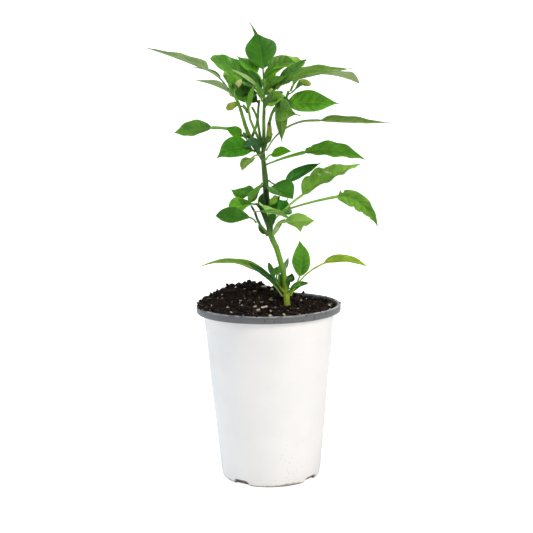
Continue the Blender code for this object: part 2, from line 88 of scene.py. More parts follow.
world = bpy.data.worlds.new("studio_air")
bpy.context.scene.world = world
world.use_nodes = True
air = world.node_tree.nodes["Background"].inputs
air["Color"].default_value = (1.0, 1.0, 1.0, 1.0)
air["Strength"].default_value = AIR_GLOW


def place_node(tree, kind, inputs=None, **settings):
    """Adds a shader node; each input is a plain value or the output that feeds it."""
    made = tree.nodes.new("ShaderNode" + kind)
    for key, value in settings.items():
        setattr(made, key, value)
    for key, value in (inputs or {}).items():
        if isinstance(value, bpy.types.NodeSocket):
            tree.links.new(value, made.inputs[key])
        else:
            made.inputs[key].default_value = value
    return made


def sum_of(tree, operation, first, second=0.0, third=0.0, clamp=False):
    """One arithmetic step on two or three values."""
    made = place_node(tree, "Math", {0: first, 1: second, 2: third}, operation=operation,
                      use_clamp=clamp)
    return made.outputs[0]


def times(tree, first, second):
    """One value scaled by another."""
    return sum_of(tree, "MULTIPLY", first, second)


def blend_of(tree, share, under, over, kind="MIX"):
    """Lays one colour over another by a share."""
    made = place_node(tree, "Mix", {0: share, 6: under, 7: over}, data_type="RGBA",
                      blend_type=kind)
    return made.outputs[2]


def noise_of(tree, spot, scale, detail, roughness=0.5):
    """Soft noise around one half, `scale` waves to the metre."""
    return place_node(tree, "TexNoise", {"Vector": spot, "Scale": scale, "Detail": detail,
                                         "Roughness": roughness}).outputs["Fac"]


def new_material(name, **shader_values):
    """A material whose Principled shader holds these plain values. Returns it with its tree, its
    shader, and the place of a point on the object in metres."""
    material = bpy.data.materials.new(name)
    material.use_nodes = True
    tree = material.node_tree
    shader = tree.nodes["Principled BSDF"]
    for key, value in shader_values.items():
        shader.inputs[key.replace("_", " ")].default_value = value
    return material, tree, shader, place_node(tree, "TexCoord").outputs["Object"]


def feed(shader, name, value):
    """Gives one of a shader's sockets a value that changes over the surface."""
    shader.id_data.links.new(value, shader.inputs[name])


bench_points, bench_faces = [(0.0, 0.0, 0.0)], []
profile = [(0.3 * step, 0.0) for step in range(1, 6)]
profile += [(BENCH_RADIUS + BENCH_CURVE * math.sin(a), BENCH_CURVE * (1 - math.cos(a)))
            for a in np.linspace(0.0, math.pi / 2, 14)]
profile += [(BENCH_RADIUS + BENCH_CURVE, BENCH_WALL)]
for radius, height in profile:
    bench_points += [(radius * math.cos(a), radius * math.sin(a), height)
                     for a in np.arange(BENCH_SIDES) * 2 * math.pi / BENCH_SIDES]
for i in range(BENCH_SIDES):
    j = (i + 1) % BENCH_SIDES
    bench_faces.append((0, 1 + i, 1 + j))
    for row in range(len(profile) - 1):
        near, far = 1 + row * BENCH_SIDES, 1 + (row + 1) * BENCH_SIDES
        bench_faces.append((near + i, far + i, far + j, near + j))
bench_mesh = bpy.data.meshes.new("bench")
bench_mesh.from_pydata(bench_points, [], bench_faces)
bench_mesh.shade_smooth()
bench = bpy.data.objects.new("bench", bench_mesh)
bpy.context.scene.collection.objects.link(bench)
bench_white, tree, shader, spot = new_material("bench_white", Roughness=0.8)
grain = noise_of(tree, spot, 9.0, 3.0)
feed(shader, "Base Color", blend_of(tree, grain, (0.93,) * 3 + (1.0,), (0.96,) * 3 + (1.0,)))
seen = place_node(tree, "LightPath").outputs["Is Camera Ray"]
shader.inputs["Emission Color"].default_value = (1.0, 1.0, 1.0, 1.0)
feed(shader, "Emission Strength", times(tree, seen, BENCH_GLOW))
bench_mesh.materials.append(bench_white)

# ------------------------------------------------------------------ pot
# A thin moulded plastic grower's pot, white outside and grey inside, with a grey collar for its
# rim and four notches through its lower corner. It has stood on wet mix, so its foot is stained.
POT_TOP_CORNER = np.array(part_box("pot")[1]) / MM
POT_HEIGHT, RIM_RADIUS = POT_TOP_CORNER[2], POT_TOP_CORNER[0]
RIM_DEPTH, RIM_WALL, NECK_RADIUS = 5.2, 2.6, 48.5
BASE_RADIUS, BASE_CORNER, WALL = 37.0, 3.5, 1.0
MOUTH_RADIUS = RIM_RADIUS - RIM_WALL
POT_SIDES = 224
NOTCH_TURNS = (-37.0, 53.0, 143.0, 233.0)
NOTCH_WIDTH, NOTCH_HEIGHT, NOTCH_REACH = 14.5, 4.5, 5.0
FLOOR_RADIUS = 20.0             # a ring of the flat floor, to keep its faces even
CORNER, LIP = 0.8, 1.0          # radii of the rim's inner edges and of its outer top edge
WAVES = ((0.12, 3, 0.07), (0.08, 5, -0.11))     # depth, waves round the wall, and turn per mm up
DENT_FADE = 20.0                # the wall is true within this far of its foot and shoulder
STAIN_REACH, STAIN_START = 0.0085, -0.0021      # metres
STAIN_BROWN, SCUFF_BROWN = (0.25, 0.17, 0.09, 1.0), (0.30, 0.25, 0.20, 1.0)
RIM_HIGHLIGHT_BAND = 0.1292, 0.1300      # heights in metres between which the rim's top edge carries a painted highlight in paler grey
# the grey of the painted highlight on the rim's top edge, and the brown of real dust on the rim
RIM_HIGHLIGHT_GREY, DUST_BROWN = (0.50, 0.52, 0.54, 1.0), (0.055, 0.036, 0.022, 1.0)


def ramp_of(tree, value, low, high, start=0.0, end=1.0, smooth=True):
    """Carries a value from low..high to start..end and holds it there."""
    made = place_node(tree, "MapRange", {"Value": value, "From Min": low, "From Max": high,
                                         "To Min": start, "To Max": end},
                      interpolation_type="SMOOTHSTEP" if smooth else "LINEAR")
    return made.outputs["Result"]


def new_group(name, inputs, outputs):
    """An empty node group with named inputs (name: default) and outputs (name: kind)."""
    tree = bpy.data.node_groups.new(name, "ShaderNodeTree")
    for label, default in inputs.items():
        kind = "Float" if isinstance(default, float) else "Color" if len(default) == 4 else "Vector"
        socket = tree.interface.new_socket(label, in_out="INPUT", socket_type="NodeSocket" + kind)
        socket.default_value = default
    for label, kind in outputs.items():
        tree.interface.new_socket(label, in_out="OUTPUT", socket_type="NodeSocket" + kind)
    entry, leave = tree.nodes.new("NodeGroupInput"), tree.nodes.new("NodeGroupOutput")
    return tree, entry.outputs, leave.inputs


def use_group(tree, group, inputs):
    """Places a node group in a material with its own values, and returns its outputs."""
    made = tree.nodes.new("ShaderNodeGroup")
    made.node_tree = group
    for key, value in inputs.items():
        if isinstance(value, bpy.types.NodeSocket):
            tree.links.new(value, made.inputs[key])
        else:
            made.inputs[key].default_value = value
    return made.outputs


mottling, entry, leave = new_group(
    "mottling", {"Place": (0.0, 0.0, 0.0), "Size": 100.0, "Light": (1.0, 1.0, 1.0, 1.0),
                 "Dark": (0.5, 0.5, 0.5, 1.0), "Low": 0.35, "High": 0.65},
    {"Colour": "Color", "Mask": "Float"})
cloud = noise_of(mottling, entry["Place"], entry["Size"], 5.0, 0.6)
mask = ramp_of(mottling, cloud, entry["Low"], entry["High"])
mottling.links.new(blend_of(mottling, mask, entry["Dark"], entry["Light"]), leave["Colour"])
mottling.links.new(mask, leave["Mask"])


def speckled(tree, spot, size, amount, patches):
    """A mask of small specks that gather in patches."""
    return use_group(tree, specks, {"Place": spot, "Size": size, "Amount": amount,
                                    "Patches": patches})["Mask"]


def mottled(tree, spot, size, light, dark, low=0.35, high=0.65):
    """Two colours that drift into each other in clouds."""
    return use_group(tree, mottling, {"Place": spot, "Size": size, "Light": (*light, 1.0),
                                      "Dark": (*dark, 1.0), "Low": low, "High": high})["Colour"]


def relief(tree, shader, height, strength, depth):
    """Fine bumps on a surface, `depth` metres deep."""
    bump = place_node(tree, "Bump", {"Height": height, "Strength": strength, "Distance": depth})
    feed(shader, "Normal", bump.outputs["Normal"])



specks, entry, leave = new_group(
    "specks", {"Place": (0.0, 0.0, 0.0), "Size": 600.0, "Amount": 0.1, "Patches": 30.0},
    {"Mask": "Float"})
dots = place_node(specks, "TexVoronoi", {"Vector": entry["Place"], "Scale": entry["Size"]})
patch = noise_of(specks, entry["Place"], entry["Patches"], 2.0)
reach = times(specks, entry["Amount"],
               ramp_of(specks, patch, 0.45, 0.75))
specks.links.new(ramp_of(specks, sum_of(specks, "SUBTRACT", reach, dots.outputs["Distance"]),
                         0.0, 0.06), leave["Mask"])


def new_piece(name, points, faces, finishes, nodes=(), marks=None, sharp=55.0,
              finish_of=None):
    """A smooth piece from points in millimetres. `marks` are values per point for its finish, and
    `finish_of` numbers the finish of each face."""
    mesh = bpy.data.meshes.new(name)
    mesh.from_pydata((np.asarray(points, float) * MM).tolist(), [], [list(f) for f in faces])
    mesh.shade_smooth()
    mesh.set_sharp_from_angle(angle=math.radians(sharp))
    for label, values in (marks or {}).items():
        values = np.asarray(values, np.float32)
        mark = mesh.attributes.new(label, "FLOAT" if values.ndim == 1 else "FLOAT_COLOR", "POINT")
        mark.data.foreach_set("value" if values.ndim == 1 else "color", values.ravel())
    for finish in finishes:
        mesh.materials.append(finish)
    if finish_of is not None:
        mesh.polygons.foreach_set("material_index", np.asarray(finish_of, np.int32))
    piece = bpy.data.objects.new(name, mesh)
    bpy.context.scene.collection.objects.link(piece)
    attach(piece, "root")
    if nodes:
        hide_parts(*nodes)
    return piece


def ring_of(radius, height, sides):
    """Points of one level ring round the pot's axis."""
    return [(radius * math.cos(a), radius * math.sin(a), height)
            for a in np.arange(sides) * 2 * math.pi / sides]


def sleeve_faces(rows, sides, first=0):
    """Faces between rings of points, one ring after another."""
    faces = []
    for row in range(rows - 1):
        near, far = first + row * sides, first + (row + 1) * sides
        faces += [(near + i, near + (i + 1) % sides, far + (i + 1) % sides, far + i)
                  for i in range(sides)]
    return faces


def turned_faces(rows, sides):
    """Faces of a turned solid: one bottom point, rings, and one top point."""
    faces, last = [], 1 + (rows - 1) * sides
    for i in range(sides):
        j = (i + 1) % sides
        faces.append((0, 1 + j, 1 + i))
        faces += [(near + i, near + j, near + sides + j, near + sides + i)
                  for near in range(1, last, sides)]
        faces.append((last + i, last + j, last + sides))
    return faces


def rounded(corner_x, corner_y, radius, start, end, steps=5):
    """Points of an arc round a centre, from one angle to another, for a turned outline."""
    return [(corner_x + radius * math.cos(a), corner_y + radius * math.sin(a))
            for a in np.radians(np.linspace(start, end, steps))]


shoulder = POT_HEIGHT - RIM_DEPTH
taper = (NECK_RADIUS - BASE_RADIUS) / shoulder
foot_curve = BASE_CORNER - 0.2
outline = [(0.0, 0.0), (FLOOR_RADIUS, 0.0)]
outline += rounded(BASE_RADIUS - BASE_CORNER + 0.2, foot_curve, foot_curve, -90, -4, 8)
outline += [(BASE_RADIUS + taper * h, h) for h in np.linspace(6.0, shoulder - 0.6, 24)]
outline += rounded(NECK_RADIUS + 0.5, shoulder - 0.5, 0.5, 180, 95, 4)
outline += rounded(RIM_RADIUS - CORNER, shoulder + CORNER, CORNER, -90, 0)
outline += rounded(RIM_RADIUS - LIP, POT_HEIGHT - LIP, LIP, 0, 90, 6)
outline += rounded(MOUTH_RADIUS + CORNER, POT_HEIGHT - CORNER, CORNER, 90, 180)
outline += [(MOUTH_RADIUS, shoulder + WALL + 0.4), (MOUTH_RADIUS - 0.4, shoulder + WALL),
            (NECK_RADIUS - WALL, shoulder + WALL), (NECK_RADIUS - WALL, shoulder - 1.0)]
outline += [(BASE_RADIUS + taper * BASE_CORNER - WALL, BASE_CORNER + 0.4 * WALL),
            (BASE_RADIUS - BASE_CORNER, WALL), (FLOOR_RADIUS, WALL), (0.0, WALL)]
pot_points = [(0.0, 0.0, outline[0][1])]
for radius, height in outline[1:-1]:
    pot_points += ring_of(radius, height, POT_SIDES)
pot_points.append((0.0, 0.0, outline[-1][1]))
pot_mesh = bpy.data.meshes.new("pot_body")
pot_mesh.from_pydata(pot_points, [], turned_faces(len(outline) - 2, POT_SIDES))
pot_body = bpy.data.objects.new("pot_body", pot_mesh)
bpy.context.scene.collection.objects.link(pot_body)
cutters = []
for turn in NOTCH_TURNS:
    angle = math.radians(turn)
    outward = np.array([math.sin(angle), -math.cos(angle), 0.0])
    along = np.array([math.cos(angle), math.sin(angle), 0.0])
    half, crown = NOTCH_WIDTH / 2, NOTCH_HEIGHT
    arch = [(-half, -2.0), (-half + 0.2, crown - 2.4), (-half + 0.9, crown - 1.2),
            (-half + 2.2, crown - 0.35), (-half + 3.8, crown), (half - 3.8, crown),
            (half - 2.2, crown - 0.35), (half - 0.9, crown - 1.2), (half - 0.2, crown - 2.4),
            (half, -2.0)]
    ends = [[tuple(outward * r + along * x + (0.0, 0.0, z)) for x, z in arch]
            for r in (BASE_RADIUS - NOTCH_REACH, BASE_RADIUS + 5.0)]
    count = len(arch)
    faces = [tuple(range(count)), tuple(range(count, 2 * count))[::-1]]
    faces += [face[::-1] for face in sleeve_faces(2, count)]
    cutter_mesh = bpy.data.meshes.new("notch_cutter")
    cutter_mesh.from_pydata(ends[0] + ends[1], [], faces)
    cutter = bpy.data.objects.new("notch_cutter", cutter_mesh)
    bpy.context.scene.collection.objects.link(cutter)
    cut = pot_body.modifiers.new("notch", "BOOLEAN")
    cut.operation, cut.solver, cut.object = "DIFFERENCE", "EXACT", cutter
    cutters.append(cutter)
shape = bpy.data.meshes.new_from_object(
    pot_body.evaluated_get(bpy.context.evaluated_depsgraph_get()))
pot_points = np.array([v.co for v in shape.vertices])
pot_faces = [tuple(p.vertices) for p in shape.polygons]
for thing in [pot_body, *cutters]:
    bpy.data.objects.remove(thing)
away, climb = np.hypot(pot_points[:, 0], pot_points[:, 1]), pot_points[:, 2]
turn = np.arctan2(pot_points[:, 1], pot_points[:, 0])
dent = sum(depth * np.sin(count * turn + slant * climb) for depth, count, slant in WAVES)
dent *= np.clip((climb - 8) / DENT_FADE, 0, 1) * np.clip((shoulder - climb) / DENT_FADE, 0, 1)
pot_points[:, :2] *= (1 + np.where(away > 30, dent / np.maximum(away, 1), 0))[:, None]

pot_white, tree, shader, spot = new_material("pot_white", Roughness=0.34, Specular_IOR_Level=0.4)
height = place_node(tree, "SeparateXYZ", {"Vector": spot}).outputs["Z"]
wall = mottled(tree, spot, 24.0, (0.83, 0.812, 0.795), (0.80, 0.786, 0.772))
scuffs = speckled(tree, spot, 420.0, 0.20, 16.0)
wall = blend_of(tree, times(tree, scuffs, 0.55), wall, SCUFF_BROWN)
smear = noise_of(tree, spot, 70.0, 6.0, 0.7)
rise = sum_of(tree, "MULTIPLY_ADD", smear, STAIN_REACH, STAIN_START)
stain = ramp_of(tree, sum_of(tree, "SUBTRACT", rise, height), -0.0004, 0.0009)
wall = blend_of(tree, times(tree, stain, 0.80), wall, STAIN_BROWN)
feed(shader, "Base Color", wall)
feed(shader, "Roughness", ramp_of(tree, stain, 0.0, 1.0, 0.34, 0.85))
skin = noise_of(tree, spot, 1600.0, 2.0)
relief(tree, shader, skin, 0.05, 0.0002)

pot_grey, tree, shader, spot = new_material("pot_grey", Roughness=0.3, Specular_IOR_Level=0.7)
height = place_node(tree, "SeparateXYZ", {"Vector": spot}).outputs["Z"]
rim = mottled(tree, spot, 60.0, (0.106, 0.111, 0.117), (0.092, 0.097, 0.103))
# painted highlight: paler grey in cloudy patches along the rim's top edge; the same clouds vary the
# rim's gloss
highlight_and_gloss_cloud = noise_of(tree, spot, 240.0, 4.0)
edge = times(tree, ramp_of(tree, height, *RIM_HIGHLIGHT_BAND),
              ramp_of(tree, highlight_and_gloss_cloud, 0.42, 0.62))
rim = blend_of(tree, times(tree, edge, 0.5), rim, RIM_HIGHLIGHT_GREY)
dust = speckled(tree, spot, 700.0, 0.42, 45.0)
rim = blend_of(tree, times(tree, dust, 0.8), rim, DUST_BROWN)
feed(shader, "Base Color", rim)
feed(shader, "Roughness", ramp_of(tree, highlight_and_gloss_cloud, 0.3, 0.7, 0.27, 0.33))
skin = noise_of(tree, spot, 900.0, 3.0)
relief(tree, shader, skin, 0.05, 0.0003)

is_grey = []
for face in pot_faces:
    middle = pot_points[list(face)].mean(0)
    outside = math.hypot(middle[0], middle[1]) > BASE_RADIUS + taper * middle[2] - 0.5 * WALL
    low = middle[2] < NOTCH_HEIGHT + 0.5
    is_grey.append(0 if middle[2] < shoulder - 0.1 and (outside or low) else 1)
new_piece("pot_shell", pot_points, pot_faces, [pot_white, pot_grey], ["pot"],
          sharp=40.0, finish_of=is_grey)

# ------------------------------------------------------------------ potting mix
# Moist dark peat with white perlite, tan bark chips and fine roots, filled to the rim, heaped at
# the back left and spilling on to the rim there. The crumbs and chips lie loose on its surface.
MIX_SIDES, MIX_ROWS = 300, 96
MIX_GAP = 0.3
CRUMB_COUNT, SPILLED_COUNT, GRAIN_COUNT, CHIP_COUNT = 1500, 70, 150, 130
WISP_COUNT, RIM_WISPS = 46, 14
SPILL_SIDE = 182                # degrees round the pot where most of the mix has spilled
RIM_CLODS = ((-47.5, -4, 2.4), (-46.5, 5, 2.6), (-48.5, 1, 2.1), (-44, -10, 2.0),
             (-49.5, -8, 1.6), (-50.5, 3, 1.6), (-51.6, -2, 1.2), (-42, 12, 2.3),
             (-45, -16, 1.5), (-41, 20, 2.0))       # x, y and half size, in mm
dice = random.Random(11)
cad_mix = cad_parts["potting_mix"].data
mix_tree = BVHTree.FromPolygons([v.co / MM for v in cad_mix.vertices],
                                [tuple(p.vertices) for p in cad_mix.polygons])


def lumps(x, y, cell, seed):
    """A bumpy field between 0 and 1 with rounded grains about `cell` apart."""
    gx, gy = np.floor(x / cell), np.floor(y / cell)
    best = np.full(x.shape, 9.0)
    for dx in (-1, 0, 1):
        for dy in (-1, 0, 1):
            cx, cy = gx + dx, gy + dy
            hx = np.modf(np.abs(np.sin(cx * 127.1 + cy * 311.7 + seed) * 43758.5453))[0]
            hy = np.modf(np.abs(np.sin(cx * 269.5 + cy * 183.3 + seed) * 43758.5453))[0]
            best = np.minimum(best, (x / cell - cx - hx) ** 2 + (y / cell - cy - hy) ** 2)
    return 1.0 - np.sqrt(np.clip(best, 0, 1))


def mix_height(x, y):
    """Height of the smooth mix surface of the CAD model under a place."""
    hit = mix_tree.ray_cast(Vector((x, y, 160.0)), Vector((0.0, 0.0, -1.0)))[0]
    return 126.5 if hit is None else max(hit.z, 126.3)


mix_radius = MOUTH_RADIUS - MIX_GAP
angles = np.arange(MIX_SIDES) * 2 * math.pi / MIX_SIDES
shares = 1.0 - np.arange(MIX_ROWS) / MIX_ROWS
px = (mix_radius * shares[:, None] * np.cos(angles)).ravel()
py = (mix_radius * shares[:, None] * np.sin(angles)).ravel()
level = np.array([mix_height(x, y) for x, y in zip(px * 0.995, py * 0.995)])
rough = (2.6 * lumps(px, py, 7.0, 3.0) + 1.8 * lumps(px, py, 3.4, 7.0)
         + 0.8 * lumps(px, py, 1.5, 5.0) - 2.4)
sunk = np.exp(-((px - 34) / 15) ** 2 - ((py - 24) / 22) ** 2)
level = np.where(level > 140.5, 140.5 + 0.35 * (level - 140.5), level) - 3.2 * sunk
edge = np.clip((mix_radius - np.hypot(px, py)) / 3.0, 0.0, 1.0)
left_edge = np.clip((-px - 30) / 20, 0, 1)
top = level + rough * (0.25 + 0.75 * edge) + 1.1 * left_edge * (1 - edge)
top = np.maximum(top, shoulder + WALL + 1.2)
shelf = shoulder + WALL + MIX_GAP
under = [(BASE_RADIUS - BASE_CORNER - MIX_GAP, WALL + MIX_GAP),
         (BASE_RADIUS + taper * BASE_CORNER - WALL - MIX_GAP, BASE_CORNER + 2 * MIX_GAP),
         (NECK_RADIUS - WALL - MIX_GAP, shelf), (mix_radius, shelf)]
mix_points = [(0.0, 0.0, under[0][1])]
for radius, height in under:
    mix_points += ring_of(radius, height, MIX_SIDES)
mix_points += list(zip(px, py, top))
mix_points.append((0.0, 0.0, mix_height(0.0, 0.0)))
mix_faces = turned_faces(len(under) + MIX_ROWS, MIX_SIDES)

peat, tree, shader, spot = new_material("peat", Roughness=0.92, Specular_IOR_Level=0.15)
earth = mottled(tree, spot, 420.0, (0.021, 0.0125, 0.0078), (0.0042, 0.0028, 0.0021))
fibre = use_group(tree, mottling, {"Place": spot, "Size": 150.0, "Light": (1.0, 1.0, 1.0, 1.0),
                                   "Dark": (0.0, 0.0, 0.0, 1.0), "Low": 0.55, "High": 0.7})["Mask"]
earth = blend_of(tree, times(tree, fibre, 0.35), earth, (0.058, 0.034, 0.018, 1.0))
flecks = speckled(tree, spot, 1100.0, 0.30, 260.0)
earth = blend_of(tree, times(tree, flecks, 0.5), earth, (0.22, 0.19, 0.15, 1.0))
height = place_node(tree, "SeparateXYZ", {"Vector": spot}).outputs["Z"]
notch_grey_brown = ramp_of(tree, height, 0.011, 0.014, 0.9, 0.0)       # a lighter grey-brown low down, where it shows in the notches
earth = blend_of(tree, notch_grey_brown, earth, (0.42, 0.36, 0.29, 1.0))
feed(shader, "Base Color", earth)
wet = noise_of(tree, spot, 300.0, 3.0)
feed(shader, "Roughness", ramp_of(tree, wet, 0.35, 0.65, 0.68, 0.98))
crumble = noise_of(tree, spot, 1400.0, 6.0, 0.75)
relief(tree, shader, crumble, 0.9, 0.0009)

new_piece("peat_bed", mix_points, mix_faces, [peat], ["potting_mix"], sharp=80.0)
bed_tree = BVHTree.FromPolygons([Vector(p) for p in mix_points], mix_faces)


def bed_height(x, y):
    """Height of the finished surface under a place, or of the rim where there is none."""
    hit = bed_tree.ray_cast(Vector((x, y, 160.0)), Vector((0.0, 0.0, -1.0)))[0]
    return POT_HEIGHT if hit is None else hit.z


def ball(rows=2):
    """Points and faces of a small round lump: an octahedron split `rows` times."""
    points = [Vector(p) for p in ((1, 0, 0), (-1, 0, 0), (0, 1, 0), (0, -1, 0), (0, 0, 1),
                                  (0, 0, -1))]
    faces = [(0, 2, 4), (2, 1, 4), (1, 3, 4), (3, 0, 4), (2, 0, 5), (1, 2, 5), (3, 1, 5), (0, 3, 5)]
    for _ in range(rows):
        split, finer = {}, []
        for face in faces:
            middles = []
            for a, b in zip(face, face[1:] + face[:1]):
                key = (min(a, b), max(a, b))
                if key not in split:
                    split[key] = len(points)
                    points.append((points[a] + points[b]).normalized())
                middles.append(split[key])
            a, b, c = face
            ab, bc, ca = middles
            finer += [(a, ab, ca), (ab, b, bc), (ca, bc, c), (ab, bc, ca)]
        faces = finer
    return np.array(points), faces


LUMP_FINE, LUMP_COARSE = ball(2), ball(1)


def add_lump(store, centre, size, ragged, coarse=False, axis_turn=None):
    """Adds one irregular lump of the given half sizes to a store of points, faces and tones."""
    base, faces = LUMP_COARSE if coarse else LUMP_FINE
    shape = base * np.array([1 + dice.uniform(-ragged, ragged) for _ in base])[:, None]
    shape = shape * np.asarray(size)
    if axis_turn is None:
        turn = Matrix.Rotation(dice.uniform(0, 6.283), 3, "Z") @ Matrix.Rotation(
            dice.uniform(-0.9, 0.9), 3, "X") @ Matrix.Rotation(dice.uniform(-0.9, 0.9), 3, "Y")
    else:
        turn = (Matrix.Rotation(axis_turn, 3, "Z")
                @ Matrix.Rotation(dice.uniform(-0.35, 0.35), 3, "Y"))
    shape = shape @ np.array(turn).T + np.asarray(centre)
    start = len(store["points"])
    store["points"] += shape.tolist()
    store["faces"] += [tuple(start + k for k in face) for face in faces]
    store["tone"] += [dice.random()] * len(shape)


def random_spot(reach=1.0):
    """A place on the mix, anywhere within a share of its radius."""
    radius, angle = mix_radius * reach * math.sqrt(dice.random()), dice.uniform(0, 2 * math.pi)
    return radius * math.cos(angle), radius * math.sin(angle)


def mark_of(tree, label):
    """The value that a piece's points carry under a name."""
    return place_node(tree, "Attribute", attribute_name=label).outputs["Fac"]


crumbs = {"points": [], "faces": [], "tone": []}
for _ in range(CRUMB_COUNT):
    x, y = random_spot(0.985)
    size = 0.45 + 1.5 * dice.random() ** 3.0
    shape = [size * dice.uniform(0.7, 1.3) for _ in range(3)]
    add_lump(crumbs, (x, y, bed_height(x, y) + 0.25 * size), shape, 0.30, coarse=size < 0.8)
for _ in range(SPILLED_COUNT):      # spilled on to the rim and over it, mostly at the left
    at_side = dice.random() < 0.72
    angle = math.radians(dice.gauss(SPILL_SIDE, 20)) if at_side else dice.uniform(0, 6.283)
    radius = dice.uniform(MOUTH_RADIUS - 0.8, RIM_RADIUS - 0.2)
    size = 0.25 + 0.9 * dice.random() ** 2
    add_lump(crumbs, (radius * math.cos(angle), radius * math.sin(angle), POT_HEIGHT + 0.35 * size),
             [size * dice.uniform(0.7, 1.3) for _ in range(3)], 0.3, coarse=size < 0.6)
for x, y, size in RIM_CLODS:
    add_lump(crumbs, (x, y, max(bed_height(x, y), POT_HEIGHT) + 0.3 * size),
             [size * 1.1, size, size * 0.8], 0.3)

crumb_peat, tree, shader, spot = new_material("crumb_peat", Roughness=0.9, Specular_IOR_Level=0.15)
tone = mark_of(tree, "tone")
dark = mottled(tree, spot, 700.0, (0.019, 0.0115, 0.0075), (0.0042, 0.0028, 0.0021))
brown = mottled(tree, spot, 700.0, (0.060, 0.034, 0.018), (0.014, 0.0085, 0.0055))
feed(shader, "Base Color", blend_of(tree, ramp_of(tree, tone, 0.70, 1.0), dark, brown))
crumble = noise_of(tree, spot, 1800.0, 5.0, 0.75)
relief(tree, shader, crumble, 0.8, 0.0006)
new_piece("peat_crumbs", crumbs["points"], crumbs["faces"], [crumb_peat],
          marks={"tone": crumbs["tone"]}, sharp=180.0)

PALE_CHIPS = ((-3.3, 11.0, 1.3), (-2.0, 15.0, 1.1), (-20.3, -9.0, 1.0), (-19.6, -16.0, 1.2),
              (-29.7, -16.5, 0.8), (-9.3, -17.0, 1.1), (-4.9, -11.0, 1.3), (-7.7, -26.0, 1.2),
              (-3.5, -19.0, 1.5), (22.1, -17.0, 0.9), (22.1, -38.0, 1.0), (11.5, -37.0, 1.2),
              (0.8, -38.0, 1.3), (6.0, -41.0, 0.9), (-14.4, -1.0, 0.7), (-24.2, 4.5, 0.8),
              (-34.5, 0.5, 0.7), (31.7, 6.5, 0.7), (-15.2, 7.5, 0.8), (2.0, -24.0, 0.9),
              (-6.5, -45.2, 0.9), (-1.5, -45.6, 0.8), (3.5, -45.4, 1.0), (9.0, -44.8, 0.8),
              (14.5, -43.4, 0.9), (-14.0, -30.0, 1.0), (-27.0, -28.0, 0.7))
perlite = {"points": [], "faces": [], "tone": []}
for _ in range(GRAIN_COUNT):
    x, y = random_spot(0.97)
    size = 0.28 + 0.75 * dice.random() ** 2.2
    add_lump(perlite, (x, y, bed_height(x, y) + 0.35 * size),
             [size * dice.uniform(0.8, 1.3) for _ in range(3)], 0.22, coarse=size < 0.6)
for x, y, size in PALE_CHIPS:
    add_lump(perlite, (x, y, bed_height(x, y) + 0.5 * size),
             (1.7 * size, 0.75 * size, 0.6 * size), 0.28, axis_turn=dice.uniform(0, 3.1))
perlite_white, tree, shader, spot = new_material("perlite_white", Roughness=0.95)
pale = mottled(tree, spot, 900.0, (0.78, 0.70, 0.60), (0.30, 0.22, 0.16))
feed(shader, "Base Color", pale)
pores = place_node(tree, "TexVoronoi", {"Vector": spot, "Scale": 2600.0})
relief(tree, shader, pores.outputs["Distance"], 0.6, 0.0003)
new_piece("perlite_grains", perlite["points"], perlite["faces"], [perlite_white],
          marks={"tone": perlite["tone"]}, sharp=180.0)

chips = {"points": [], "faces": [], "tone": []}
for _ in range(CHIP_COUNT):
    x, y = random_spot(0.97)
    length = 0.7 + 2.0 * dice.random() ** 1.8
    add_lump(chips, (x, y, bed_height(x, y) + 0.3),
             (length, length * dice.uniform(0.22, 0.45), 0.35), 0.25,
             axis_turn=dice.uniform(0, 6.283))
bark_tan, tree, shader, spot = new_material("bark_tan", Roughness=0.85)
tone = mark_of(tree, "tone")
tan = mottled(tree, spot, 900.0, (0.42, 0.31, 0.18), (0.17, 0.105, 0.055))
brown = mottled(tree, spot, 900.0, (0.16, 0.085, 0.042), (0.045, 0.024, 0.013))
feed(shader, "Base Color", blend_of(tree, ramp_of(tree, tone, 0.45, 0.6), brown, tan))
streaks = noise_of(tree, spot, 2000.0, 4.0)
relief(tree, shader, streaks, 0.5, 0.0003)
new_piece("bark_chips", chips["points"], chips["faces"], [bark_tan],
          marks={"tone": chips["tone"]}, sharp=180.0)


def knots(values, where):
    """A smooth reading between evenly spaced values."""
    values = np.asarray(values, float)
    flat = values.ndim == 1
    if flat:
        values = values[:, None]
    padded = np.vstack([2 * values[0] - values[1], values, 2 * values[-1] - values[-2]])
    low = np.clip(np.floor(where).astype(int), 0, len(values) - 2)
    t = (where - low)[:, None]
    a, b, c, d = (padded[low + k] for k in range(4))
    read = 0.5 * (2 * b + (c - a) * t + (2 * a - 5 * b + 4 * c - d) * t ** 2
                  + (3 * b - a - 3 * c + d) * t ** 3)
    return read[:, 0] if flat else read


def smooth_run(route, steps):
    """Points evenly numbered along a smooth curve through the route, ends included."""
    return knots(route, np.linspace(0, len(route) - 1, steps))


def tube(run, radii, sides):
    """Rings round a run of points, and the faces that close them into a solid."""
    run = np.asarray(run, float)
    ways = np.gradient(run, axis=0)
    ways /= np.linalg.norm(ways, axis=1)[:, None] + 1e-12
    side = np.cross(ways[0], [0.31, 0.17, 0.94])
    points = []
    for spot, way, radius in zip(run, ways, radii):
        side = side - way * (side @ way)
        side /= np.linalg.norm(side)
        other = np.cross(way, side)
        points += [spot + radius * (math.cos(a) * side + math.sin(a) * other)
                   for a in np.arange(sides) * 2 * math.pi / sides]
    faces = [tuple(range(sides))[::-1], tuple(range(len(points) - sides, len(points)))]
    return points, faces + sleeve_faces(len(run), sides)


